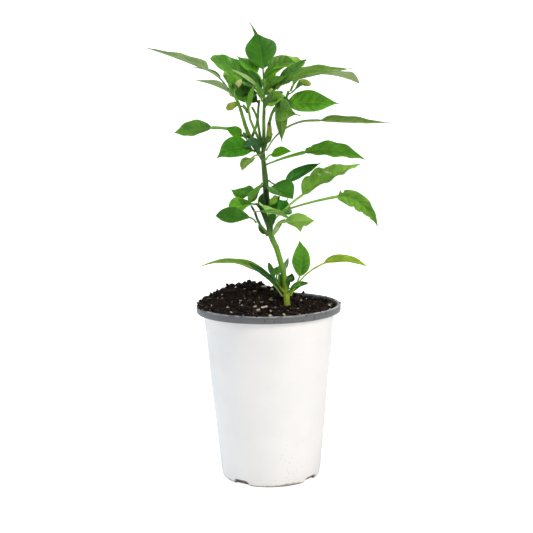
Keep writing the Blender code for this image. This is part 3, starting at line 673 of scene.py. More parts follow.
wisps = {"points": [], "faces": []}
for number in range(WISP_COUNT):
    if number < RIM_WISPS:          # dry roots that hang over the rim at the left
        angle = math.radians(dice.gauss(SPILL_SIDE, 11))
        radius = dice.uniform(MOUTH_RADIUS - 3.0, RIM_RADIUS)
        x, y = radius * math.cos(angle), radius * math.sin(angle)
        z = POT_HEIGHT + dice.uniform(0.8, 2.2)
    else:
        x, y = random_spot(0.95)
        z = bed_height(x, y) + 0.4
    heading, length = dice.uniform(0, 6.283), dice.uniform(2.5, 6.5)
    if number < RIM_WISPS:
        heading = angle + dice.uniform(-1.2, 1.2)
        length = dice.uniform(2.0, 4.5)
    route = [(x, y, z)]
    for step in range(4):
        heading += dice.uniform(-0.8, 0.8)
        lift = dice.uniform(-0.5, 0.7) if number < RIM_WISPS else dice.uniform(-0.25, 0.3)
        route.append((route[-1][0] + math.cos(heading) * length / 4,
                      route[-1][1] + math.sin(heading) * length / 4, route[-1][2] + lift))
    thick = dice.uniform(0.09, 0.2)
    points, faces = tube(smooth_run(route, 13), np.linspace(thick, 0.4 * thick, 13), 5)
    start = len(wisps["points"])
    wisps["points"] += points
    wisps["faces"] += [tuple(start + k for k in face) for face in faces]
root_fibre, tree, shader, spot = new_material("root_fibre", Roughness=0.8)
feed(shader, "Base Color", mottled(tree, spot, 300.0, (0.36, 0.27, 0.17), (0.045, 0.03, 0.02)))
new_piece("root_wisps", wisps["points"], wisps["faces"], [root_fibre], sharp=180.0)

# ------------------------------------------------------------------ stem
# One green stem with its side branches, grown as one piece: yellowish and woody at the foot, dark
# green in the middle with a near-black band of painted shade where the leaves above shadow it, fine
# ridges along it and purple-black joints where it forks.
COLLARS = ((-12.3, -3.0, 253.8, 1.5), (-4.6, -1.0, 247.0, 1.6), (-1.2, -0.5, 247.2, 1.6),
           (1.8, -3.0, 183.0, 1.8), (-2.2, -0.5, 239.5, 1.5))
stem_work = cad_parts["stem"].copy()
stem_work.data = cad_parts["stem"].data.copy()
stem_work.name = "stem_work"
stem_work.parent = None
bpy.context.scene.collection.objects.link(stem_work)
for key in list(stem_work.keys()):
    del stem_work[key]
weld = stem_work.modifiers.new("weld", "WELD")
weld.merge_threshold = 0.00001
remesh = stem_work.modifiers.new("remesh", "REMESH")
remesh.mode, remesh.voxel_size = "VOXEL", 0.00034
relax = stem_work.modifiers.new("relax", "SMOOTH")
relax.factor, relax.iterations = 0.5, 4
shape = bpy.data.meshes.new_from_object(
    stem_work.evaluated_get(bpy.context.evaluated_depsgraph_get()))
stem_points = np.array([v.co for v in shape.vertices]) / MM
stem_normals = np.array([v.normal for v in shape.vertices])
stem_faces = [tuple(p.vertices) for p in shape.polygons]
bpy.data.objects.remove(stem_work)
around = np.arctan2(stem_normals[:, 1], stem_normals[:, 0])
ridges = 0.09 * np.sin(5 * around + 0.03 * stem_points[:, 2]) + 0.03 * np.sin(11 * around + 1.3)
thin = np.clip((stem_points[:, 2] - 235) / 12, 0, 1)
ridges *= 1 - 0.75 * thin
collar = np.zeros(len(stem_points))
for x, y, z, spread in COLLARS:
    away = np.linalg.norm(stem_points - np.array([x, y, z]), axis=1)
    collar = np.maximum(collar, np.exp(-(away / spread) ** 2))
middle = np.exp(-((stem_points[:, 2] - 195) / 26) ** 2)
stem_points = stem_points + stem_normals * (ridges + 0.22 * collar + 0.28 * middle
                                             + 0.26 * thin)[:, None]

stem_skin, tree, shader, spot = new_material("stem_skin", Roughness=0.42, Specular_IOR_Level=0.2)
parts = place_node(tree, "SeparateXYZ", {"Vector": spot}).outputs
climb = ramp_of(tree, parts["Z"], 0.120, 0.300, smooth=False)
bands = place_node(tree, "ValToRGB", {"Fac": climb})
STEM_BANDS = (                  # share of the height, and the green there; the near-black pair at 0.44 and 0.53 is painted shade
    (0.00, (0.44, 0.52, 0.050)), (0.10, (0.38, 0.50, 0.045)), (0.18, (0.18, 0.37, 0.025)),
    (0.28, (0.19, 0.38, 0.035)), (0.36, (0.085, 0.20, 0.028)), (0.44, (0.016, 0.050, 0.011)),
    (0.53, (0.013, 0.042, 0.009)), (0.58, (0.060, 0.140, 0.026)), (0.64, (0.040, 0.095, 0.018)),
    (0.71, (0.055, 0.130, 0.015)), (0.77, (0.16, 0.32, 0.04)), (1.00, (0.13, 0.34, 0.03)))
ramp = bands.color_ramp
while len(ramp.elements) < len(STEM_BANDS):
    ramp.elements.new(0.5)
for element, (place, _) in zip(ramp.elements, STEM_BANDS):
    element.position = place
for element, (_, colour) in zip(ramp.elements, STEM_BANDS):
    element.color = (*colour, 1.0)
green = bands.outputs["Color"]
stretch = place_node(tree, "VectorMath", {0: spot, 1: (1.0, 1.0, 0.09)}, operation="MULTIPLY")
lines = noise_of(tree, stretch.outputs[0], 1100.0, 4.0)
streak = ramp_of(tree, lines, 0.40, 0.66)
green = blend_of(tree, times(tree, streak, 0.20), green, (0.26, 0.38, 0.12, 1.0))
blotch = mottled(tree, spot, 180.0, (0.92, 0.96, 0.80), (0.62, 0.69, 0.54))
green = blend_of(tree, 1.0, green, blotch, "MULTIPLY")
joint = mark_of(tree, "collar")
green = blend_of(tree, ramp_of(tree, joint, 0.35, 0.8, 0.0, 0.92), green,
                 (0.012, 0.008, 0.014, 1.0))
feed(shader, "Base Color", green)
feed(shader, "Roughness", ramp_of(tree, lines, 0.3, 0.7, 0.34, 0.52))
relief(tree, shader, lines, 0.4, 0.0003)
new_piece("stem_skin", stem_points, stem_faces, [stem_skin], ["stem"],
          marks={"collar": collar}, sharp=180.0)
stem_tree = BVHTree.FromPolygons([Vector(p) for p in stem_points], stem_faces)


def inside_stem(spot, depth):
    """The place just under the stem's skin that is nearest to a foot of a leaf or bud."""
    skin, normal = stem_tree.find_nearest(Vector(spot))[:2]
    return np.array(skin) - depth * np.array(normal)


# ------------------------------------------------------------------ leaves
# Each leaf grew as one piece with its stalk: a thin blade folded up from a midrib, quilted between
# its side veins with painted shade in the furrows beside them, glossy above and paler beneath, set
# on the stem by a slightly thickened foot.
RIB_SHARE = 1.6                 # the CAD rings are this many rib radii deep
BLADE_THICK, EDGE_THICK = 0.30, 0.16
VEIN_LEAN = 0.17                # how far up the blade a side vein has run at the edge
VEIN_PAIRS = 7.0

veining, entry, leave = new_group(
    "veining", {"Across": 0.0, "Along": 0.0, "Pairs": 7.0, "Lean": 0.17, "Place": (0.0, 0.0, 0.0)},
    {"Vein": "Float", "Furrow": "Float", "Net": "Float", "Height": "Float"})
wobble = noise_of(veining, entry["Place"], 210.0, 2.0)
side = sum_of(veining, "ABSOLUTE", entry["Across"])
swing = sum_of(veining, "MULTIPLY_ADD", wobble, 0.03, -0.015)
place = sum_of(veining, "ADD", sum_of(veining, "SUBTRACT", entry["Along"],
                                      times(veining, entry["Lean"],
                                             sum_of(veining, "POWER", side, 1.25))), swing)
turn = sum_of(veining, "FRACT", times(veining, place, entry["Pairs"]))
gap = sum_of(veining, "ABSOLUTE", sum_of(veining, "SUBTRACT", turn, 0.5))
width = sum_of(veining, "MULTIPLY_ADD", side, -0.055, 0.105)
vein = sum_of(veining, "SUBTRACT", 1.0, sum_of(veining, "DIVIDE", gap, width), clamp=True)
fade = ramp_of(veining, side, 0.70, 0.98, 1.0, 0.0)
vein = times(veining, vein, fade)
# a wide band beside each side vein, where the leaf finish paints shade
furrow = sum_of(veining, "SUBTRACT", 1.0, sum_of(
    veining, "DIVIDE", gap, times(veining, width, 3.4)), clamp=True)
furrow = times(veining, furrow, fade)
cells = place_node(veining, "TexVoronoi", {"Vector": entry["Place"], "Scale": 720.0},
                   feature="DISTANCE_TO_EDGE")
net = ramp_of(veining, cells.outputs["Distance"], 0.0, 0.10, 1.0, 0.0)
veining.links.new(vein, leave["Vein"])
veining.links.new(furrow, leave["Furrow"])
veining.links.new(net, leave["Net"])
sunken = sum_of(veining, "MULTIPLY_ADD", vein, 0.75, times(veining, net, 0.22))
veining.links.new(sum_of(veining, "SUBTRACT", 1.0, sunken), leave["Height"])


def leaf_finish(name, gloss, bloom):
    """Leaf skin on the leaf's own green: its gloss, and how greyish its veins and bloom are."""
    material, tree, shader, spot = new_material(name, Roughness=gloss, Specular_IOR_Level=0.17)
    tint = place_node(tree, "Attribute", attribute_name="tint").outputs["Color"]
    across, along, under, rib, scar = (
        mark_of(tree, label)
        for label in ("across", "along", "under", "rib", "scar"))
    veins = use_group(tree, veining, {"Across": across, "Along": along, "Pairs": VEIN_PAIRS,
                                      "Lean": VEIN_LEAN, "Place": spot})
    patches = mottled(tree, spot, 85.0, (1.24, 1.17, 1.26), (0.70, 0.78, 0.70), 0.32, 0.68)
    grain = mottled(tree, spot, 900.0, (1.06, 1.04, 1.06), (0.86, 0.90, 0.84))
    face = blend_of(tree, 1.0, tint, patches, "MULTIPLY")
    face = blend_of(tree, 1.0, face, grain, "MULTIPLY")
    pale = blend_of(tree, 1.0, blend_of(tree, 1.0, tint, (1.55, 1.35, 1.6, 1.0), "MULTIPLY"),
                    (*bloom, 1.0), "ADD")
    # painted shade: the leaf's green darkened in the furrows beside its side veins
    furrow_shade = blend_of(tree, 1.0, face, (0.42, 0.56, 0.44, 1.0), "MULTIPLY")
    face = blend_of(tree, times(tree, veins["Furrow"], 0.55), face, furrow_shade)
    face = blend_of(tree, times(tree, veins["Net"], 0.16), face, pale)
    face = blend_of(tree, times(tree, veins["Vein"], 0.50), face, pale)
    face = blend_of(tree, times(tree, rib, 0.75), face, pale)
    rim = ramp_of(tree, sum_of(tree, "ABSOLUTE", across), 0.90, 1.0, 0.0, 0.55)
    face = blend_of(tree, rim, face, pale)
    back = blend_of(tree, times(tree, veins["Net"], 0.3), pale, face)
    back = blend_of(tree, 0.35, back, face)
    colour = blend_of(tree, under, face, back)
    colour = blend_of(tree, scar, colour, (0.74, 0.72, 0.50, 1.0))
    feed(shader, "Base Color", colour)
    sheen = noise_of(tree, spot, 160.0, 3.0)
    shine = ramp_of(tree, sheen, 0.3, 0.7, gloss - 0.04, gloss + 0.10)
    dull = sum_of(tree, "MULTIPLY_ADD", under, 0.22, shine)
    feed(shader, "Roughness", dull)
    relief(tree, shader, veins["Height"], 0.7, 0.0006)
    return material


LEAF_FINISHES = {
    "glossy": leaf_finish("leaf_glossy", 0.34, (0.035, 0.055, 0.020)),
    "satin": leaf_finish("leaf_satin", 0.44, (0.075, 0.085, 0.060)),
}

# node: (green, finish, quilting in mm, ripple of the edge in mm, waves along the edge)
# Each green also holds some of the leaf's light and shade; the greyish greens of far_left_leaf and
# right_drooping_leaf are painted sheen.
LEAVES = {
    "crown_leaf": ((0.037, 0.167, 0.004), "glossy", 0.50, 0.5, 3.0),
    "crown_left_back_leaf": ((0.080, 0.299, 0.008), "glossy", 0.25, 0.3, 2.0),
    "crown_right_back_leaf": ((0.065, 0.185, 0.004), "glossy", 0.30, 0.4, 2.0),
    "crown_bright_leaf": ((0.059, 0.251, 0.004), "glossy", 0.20, 0.2, 2.0),
    "crown_front_leaf": ((0.061, 0.202, 0.004), "glossy", 0.25, 0.3, 2.0),
    "upper_left_leaf": ((0.093, 0.283, 0.016), "glossy", 0.45, 0.7, 4.0),
    # green greyed by painted sheen
    "far_left_leaf": ((0.156, 0.262, 0.075), "satin", 0.30, 0.4, 3.0),
    "left_dark_leaf": ((0.056, 0.163, 0.009), "satin", 0.15, 0.3, 2.0),
    "left_grey_leaf": ((0.156, 0.266, 0.084), "satin", 0.20, 0.3, 2.0),
    "left_bract_leaf": ((0.078, 0.248, 0.005), "glossy", 0.10, 0.2, 1.0),
    "left_broad_leaf": ((0.036, 0.167, 0.004), "glossy", 0.30, 0.5, 2.0),
    "left_oval_leaf": ((0.096, 0.259, 0.022), "glossy", 0.30, 0.5, 3.0),
    "left_tucked_leaf": ((0.071, 0.286, 0.004), "glossy", 0.20, 0.3, 2.0),
    "left_face_leaf": ((0.039, 0.201, 0.004), "glossy", 0.45, 0.5, 2.0),
    "left_hanging_leaf": ((0.161, 0.279, 0.043), "glossy", 0.20, 0.3, 2.0),
    "right_long_leaf": ((0.107, 0.232, 0.018), "satin", 0.40, 0.5, 3.0),
    # green greyed by painted sheen
    "right_drooping_leaf": ((0.209, 0.322, 0.099), "satin", 0.30, 0.6, 3.0),
    "right_upright_leaf": ((0.185, 0.416, 0.017), "glossy", 0.25, 0.4, 2.0),
    "right_curved_leaf": ((0.096, 0.249, 0.019), "glossy", 0.20, 0.3, 2.0),
    "right_big_leaf": ((0.079, 0.270, 0.008), "glossy", 0.45, 0.5, 2.0),
    "right_dark_leaf": ((0.093, 0.231, 0.016), "glossy", 0.30, 0.5, 2.0),
    "right_hanging_leaf": ((0.075, 0.167, 0.016), "glossy", 0.20, 0.4, 2.0),
    "right_curled_leaf": ((0.204, 0.436, 0.032), "glossy", 0.30, 0.7, 2.0),
    "long_olive_leaf": ((0.114, 0.216, 0.018), "satin", 0.30, 0.4, 3.0),
    "bright_small_leaf": ((0.101, 0.372, 0.004), "glossy", 0.20, 0.2, 1.5),
    "wavy_right_leaf": ((0.081, 0.262, 0.013), "glossy", 0.45, 1.0, 3.5),
    "mid_left_dark_leaf": ((0.060, 0.231, 0.005), "glossy", 0.25, 0.4, 2.0),
    "mid_left_folded_leaf": ((0.059, 0.198, 0.009), "glossy", 0.20, 0.3, 2.0),
    "mid_left_bright_leaf": ((0.150, 0.447, 0.020), "glossy", 0.25, 0.4, 2.0),
    "mid_left_broad_leaf": ((0.040, 0.172, 0.007), "glossy", 0.30, 0.5, 2.0),
    "mid_heart_leaf": ((0.047, 0.197, 0.009), "glossy", 0.35, 0.4, 2.0),
    "mid_right_rising_leaf": ((0.039, 0.211, 0.018), "glossy", 0.25, 0.3, 2.0),
    "mid_right_spotted_leaf": ((0.223, 0.466, 0.048), "glossy", 0.50, 0.9, 4.0),
    "mid_right_torn_leaf": ((0.126, 0.311, 0.020), "glossy", 0.45, 0.8, 4.0),
    "inner_dark_leaf": ((0.025, 0.210, 0.004), "glossy", 0.30, 0.4, 2.0),
    "front_light_leaf": ((0.179, 0.374, 0.043), "glossy", 0.30, 0.6, 3.0),
    "front_small_leaf": ((0.384, 0.723, 0.177), "glossy", 0.20, 0.3, 2.0),
    "base_long_leaf": ((0.165, 0.322, 0.029), "satin", 0.25, 0.3, 3.0),
    "base_tiny_left_leaf": ((0.028, 0.130, 0.008), "glossy", 0.08, 0.1, 1.0),
    "base_tiny_front_leaf": ((0.053, 0.213, 0.014), "glossy", 0.10, 0.1, 1.0),
    "base_blue_leaf": ((0.247, 0.386, 0.216), "glossy", 0.10, 0.1, 1.0),
    "base_upright_leaf": ((0.153, 0.455, 0.025), "glossy", 0.35, 0.3, 2.0),
    "base_right_leaf": ((0.246, 0.401, 0.026), "glossy", 0.20, 0.3, 2.0),
    "base_small_right_leaf": ((0.104, 0.337, 0.005), "glossy", 0.12, 0.2, 1.0),
    "base_small_dark_leaf": ((0.018, 0.078, 0.006), "glossy", 0.10, 0.1, 1.0),
}
# Chewed or torn places: side, share along the blade, depth as a share of the half width, spread.
NICKS = {
    "front_light_leaf": ((-1, 0.42, -0.55, 0.06), (-1, 0.60, 0.25, 0.05), (1, 0.75, 0.2, 0.04)),
    "mid_right_torn_leaf": ((-1, 0.10, -0.55, 0.016), (-1, 0.15, 0.45, 0.02), (-1, 0.05, 0.3, 0.02),
                            (1, 0.42, 0.22, 0.03), (1, 0.62, 0.18, 0.03), (1, 0.78, 0.25, 0.02)),
    "wavy_right_leaf": ((-1, 0.05, -0.5, 0.02), (-1, 0.12, 0.25, 0.03)),
    "mid_right_spotted_leaf": ((-1, 0.30, 0.10, 0.02), (-1, 0.52, 0.12, 0.02),
                               (-1, 0.7, 0.12, 0.02), (1, 0.65, 0.12, 0.03)),
}
# Pale scars: share across, share along, size in mm.
SCARS = {"mid_right_spotted_leaf": ((-0.42, 0.50, 1.0), (-0.30, 0.53, 0.7), (-0.50, 0.40, 0.8),
                                    (0.2, 0.60, 0.6))}


def welded(node):
    """Points of a CAD node in millimetres, each once, and who is joined to whom."""
    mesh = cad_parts[node].data
    index, points, new = {}, [], []
    for vertex in mesh.vertices:
        key = tuple(round(c, 7) for c in vertex.co)
        if key not in index:
            index[key] = len(points)
            points.append(np.array(vertex.co) / MM)
        new.append(index[key])
    joined = [set() for _ in points]
    for face in mesh.polygons:
        corners = [new[k] for k in face.vertices]
        for a, b in zip(corners, corners[1:] + corners[:1]):
            joined[a].add(b)
            joined[b].add(a)
    return points, joined


def rings_from(joined, start):
    """Rings of a lofted solid, counted outwards from a set of its points."""
    rings, seen = [sorted(start)], set(start)
    while True:
        following = sorted(set().union(*(joined[k] for k in rings[-1])) - seen)
        if not following:
            return rings
        rings.append(following)
        seen |= set(following)


def leaf_frame(node):
    """Spine, side-edge offsets, upward direction and rib radius of a CAD leaf from foot to tip."""
    points, joined = welded(node)
    for tip in range(len(points)):
        rings = rings_from(joined, {tip})
        if len(joined[tip]) == 4 and all(len(ring) == 4 for ring in rings[1:]):
            break
    rings = [np.array([points[k] for k in ring]) for ring in rings[1:]][::-1]
    spine, minus, plus, ups, ribs = [], [], [], [], []
    for number, ring in enumerate(rings):
        pairs = [(np.linalg.norm(ring[a] - ring[b]), a, b) for a in range(4) for b in range(a)]
        _, a, b = max(pairs)
        one, other = [k for k in range(4) if k not in (a, b)]
        middle = (ring[a] + ring[b]) / 2
        if np.linalg.norm(ring[one] - middle) < np.linalg.norm(ring[other] - middle):
            one, other = other, one
        keel, crown = ring[one], ring[other]
        spot = keel + (crown - keel) / RIB_SHARE
        up = (crown - keel) / np.linalg.norm(crown - keel)
        far = rings[number + 1].mean(0) if number + 1 < len(rings) else points[tip]
        side = np.cross(far - ring.mean(0), up)
        if (ring[a] - spot) @ side > 0:
            a, b = b, a
        spine.append(spot)
        minus.append(ring[a] - spot)
        plus.append(ring[b] - spot)
        ups.append(up)
        ribs.append(np.linalg.norm(crown - keel) / RIB_SHARE)
    return (np.array(spine + [points[tip]]), np.array(minus), np.array(plus), np.array(ups),
            np.array(ribs))


STALK_RINGS = 4
# Blades whose tip is folded away, with the share that shows, and tips drawn out into a tail, with
# the share where it starts and half its width there in mm.
FOLDED_TIPS = {"upper_left_leaf": 0.80}
TAILS = {"crown_leaf": (0.70, 1.7), "crown_left_back_leaf": (0.75, 0.7)}
# How far the outer blade, or only its very tip, has sagged or grown from the plain shape, in mm.
NUDGES = {"upper_left_leaf": (3.5, 0.0, 0.5), "left_hanging_leaf": (-3.0, 0.0, 4.0),
          "left_oval_leaf": (-2.0, 0.0, 0.5), "base_long_leaf": (-2.0, 0.0, -1.0)}
TIP_STRETCH = {"crown_leaf": (-2.0, 0.0, 3.0)}
# Leaves with a broader blade or a thicker stalk than the plain shape, as a multiple of it.
FULLER = {"upper_left_leaf": 1.15, "mid_left_bright_leaf": 1.35, "mid_heart_leaf": 1.15,
          "base_small_right_leaf": 1.5, "base_tiny_left_leaf": 1.4, "base_tiny_front_leaf": 1.4,
          "base_small_dark_leaf": 1.4, "base_upright_leaf": 1.08, "mid_left_dark_leaf": 1.15,
          "inner_dark_leaf": 1.1}
BROAD_STALKS = {"left_oval_leaf": 1.9, "right_dark_leaf": 1.9, "right_long_leaf": 2.3,
                "wavy_right_leaf": 2.2, "right_curved_leaf": 1.6, "mid_right_spotted_leaf": 1.6,
                "long_olive_leaf": 1.6, "front_light_leaf": 2.3, "mid_right_torn_leaf": 1.6,
                "base_right_leaf": 1.2}
UNMOVED = (0.0, 0.0, 0.0)
BLADE_ROW, STALK_ROW, COLUMN = 0.75, 1.2, 0.7       # spacing of a leaf's points in mm
THIN_HALF, POINT_HALF = 0.40, 0.03      # least half width of a blade, and at its very tip
TAKE_OFF = 0.04                 # share of the blade over which the stalk widens into it
ARCH = 0.16                     # how far each half arches, as a share of its width
FOOT_DEPTH = 0.5                # how far a stalk's foot is sunk in the stem


def grow_leaf(node, shape, green, quilt, ripple, waves):
    """Lofts one leaf, stalk and blade, along its spine. Returns its points, faces and marks."""
    spine, minus, plus, ups, ribs = shape
    own = random.Random(sum(ord(letter) for letter in node))
    halves = np.append(np.linalg.norm(plus, axis=1), 0.0)
    lengths = np.linalg.norm(np.diff(spine, axis=0), axis=1)
    blade_length, stalk_length = lengths[STALK_RINGS:].sum(), lengths[:STALK_RINGS].sum()
    blade_rings = len(spine) - 1 - STALK_RINGS
    blade_rows = int(np.clip(blade_length / BLADE_ROW, 18, 64))
    stalk_rows = int(np.clip(stalk_length / STALK_ROW, 5, 26))
    columns = int(np.clip(halves.max() / COLUMN, 5, 14))
    shown = FOLDED_TIPS.get(node, 1.0)
    where = np.concatenate([np.linspace(0, STALK_RINGS, stalk_rows, endpoint=False),
                            STALK_RINGS + blade_rings
                            * np.linspace(0, shown, blade_rows + 1)[:-1]])
    share = np.clip((where - STALK_RINGS) / blade_rings, 0, 1)
    nudge, stretch = np.array(NUDGES.get(node, UNMOVED)), np.array(TIP_STRETCH.get(node, UNMOVED))
    centre = knots(spine, where) + share[:, None] ** 1.5 * nudge
    centre = centre + share[:, None] ** 7 * stretch
    half = np.maximum(knots(halves, where) * FULLER.get(node, 1.0),
                      THIN_HALF * (1 - share ** 20) + POINT_HALF)
    tail_start, tail_half = TAILS.get(node, (1.0, 0.05))
    if tail_start < 1.0:
        tail = tail_half * (1 - share) / (1 - tail_start)
        half = np.where(share > tail_start, np.maximum(half, tail), half)
    if node in FOLDED_TIPS:
        fold = ((share / shown - 0.94) / 0.06).clip(0, 1)
        half *= np.sqrt(np.clip(1 - fold ** 2, 0.05, 1))
    extend = lambda rows: np.vstack([rows, rows[-1]])
    left = knots(extend(minus / np.linalg.norm(minus, axis=1)[:, None]), where)
    right = knots(extend(plus / np.linalg.norm(plus, axis=1)[:, None]), where)
    up = knots(extend(ups), where)
    for vectors in (left, right, up):
        vectors /= np.linalg.norm(vectors, axis=1)[:, None]
    rib = np.maximum(knots(np.append(ribs, ribs[-1] * 0.6), where), 0.08)
    thicker = np.clip(where / STALK_RINGS, 0, 1) * (share < TAKE_OFF / 2)
    rib *= 1 + (BROAD_STALKS.get(node, 1.0) - 1) * thicker
    blade = np.clip(share / TAKE_OFF, 0, 1)
    ways = np.gradient(centre, axis=0)
    ways /= np.linalg.norm(ways, axis=1)[:, None]

    step = np.linspace(-1, 1, 2 * columns + 1)
    angle = math.pi / 2 * step
    spread = np.sign(step) * np.abs(step) ** 1.35
    size = np.abs(spread)
    phase_left, phase_right = own.uniform(0, 6.283), own.uniform(0, 6.283)
    phases = np.where(spread < 0, phase_left, phase_right)
    lift = np.sin(math.pi * np.clip(share, 0, 1)) ** 0.5
    rows = []
    marks = {"across": [], "along": [], "under": [], "rib": [], "scar": []}
    for k in range(len(where)):
        reach = np.ones_like(spread) * half[k]
        for edge_side, at, depth, width in NICKS.get(node, ()):
            bite = 1 - depth * math.exp(-((share[k] - at) / width) ** 2)
            reach = np.where(np.sign(spread) == edge_side, reach * bite, reach)
        flat = size * reach
        vein_phase = (share[k] - VEIN_LEAN * size ** 1.25) * VEIN_PAIRS
        puff = 1.5 * quilt * min(1.0, half[k] / 5.0) * np.cos(math.pi * vein_phase) ** 2
        puff = puff * np.sqrt(size) * (1 - size ** 4) * blade[k]
        wave = np.sin(2 * math.pi * waves * share[k] + phases)
        wave = ripple * wave * size ** 3 * lift[k] * blade[k] * min(1.0, half[k] / 4.0)
        rise = puff + wave + ARCH * half[k] * (size - size ** 2) * blade[k]
        thick = EDGE_THICK + (BLADE_THICK - EDGE_THICK) * (1 - size ** 2)
        thick = thick * min(1, 0.4 + half[k] / 4)
        keel = np.sqrt(np.clip(rib[k] ** 2 - flat ** 2, 0, None))
        groove = 0.10 * np.exp(-(flat / 0.35) ** 2)
        stalk_channel = 0.18 * rib[k] * np.exp(-(step / 0.3) ** 2)
        blade_side = flat[:, None] * np.where(spread[:, None] < 0, left[k], right[k])
        across = (right[k] - left[k]) / np.linalg.norm(right[k] - left[k])
        stalk_side = (rib[k] * np.sin(angle))[:, None] * across
        foot = 1.0
        if where[k] < STALK_RINGS:
            foot += 0.55 * math.exp(-(where[k] * stalk_length / STALK_RINGS) / 0.9)
        in_blade = blade[k] ** 1.5
        ribbed = np.maximum(1 - in_blade, np.exp(-(flat / (0.45 * rib[k] + 0.12)) ** 2))
        scarred = np.zeros_like(spread)
        for scar_across, scar_along, scar_size in SCARS.get(node, ()):
            off = np.hypot((spread - scar_across) * half[k],
                           (share[k] - scar_along) * blade_length)
            scarred = np.maximum(scarred, np.clip(1.6 - off / scar_size, 0, 1))
        sides = ((rise + thick / 2 - groove, 0.80 * rib[k] * np.cos(angle) - stalk_channel, 0.0),
                 (rise - thick / 2 - keel * 0.85, -rib[k] * np.cos(angle), 1.0))
        for tall_blade, tall_stalk, under in sides:
            way = -1 if under else 1
            ring = (in_blade * (blade_side + tall_blade[:, None] * up[k])
                    + (1 - in_blade) * foot * (stalk_side + tall_stalk[:, None] * up[k]))
            rows.append((centre[k] + ring)[::way])
            values = {"across": spread, "along": np.full_like(spread, share[k]),
                      "under": np.full_like(spread, under) * max(in_blade, 0.35),
                      "rib": np.clip(ribbed, 0, 1), "scar": scarred}
            for label in marks:
                marks[label].append(values[label][::way])
    rings = [np.vstack(rows[2 * k:2 * k + 2]) for k in range(len(where))]
    rings.insert(0, rings[0] - centre[0] + inside_stem(centre[0], FOOT_DEPTH))
    end = centre[-1] + ways[-1] * 0.4 if node in FOLDED_TIPS else spine[-1] + nudge
    points = np.vstack(rings + [(end + stretch)[None, :]])
    values = {label: np.concatenate([*given[:2], *given, [given[-1][0]]])
              for label, given in marks.items()}
    values["tint"] = np.tile((*green, 1.0), (len(points), 1))
    sides = len(rings[0])
    last = (len(rings) - 1) * sides
    faces = [tuple(range(sides))[::-1]] + sleeve_faces(len(rings), sides)
    faces += [(last + i, last + (i + 1) % sides, len(points) - 1) for i in range(sides)]
    return points, faces, values


for node, (green, finish, quilt, ripple, waves) in LEAVES.items():
    points, faces, values = grow_leaf(node, leaf_frame(node), green, quilt, ripple, waves)
    new_piece(node + "_blade", points, faces, [LEAF_FINISHES[finish]], [node],
              marks=values, sharp=62.0)

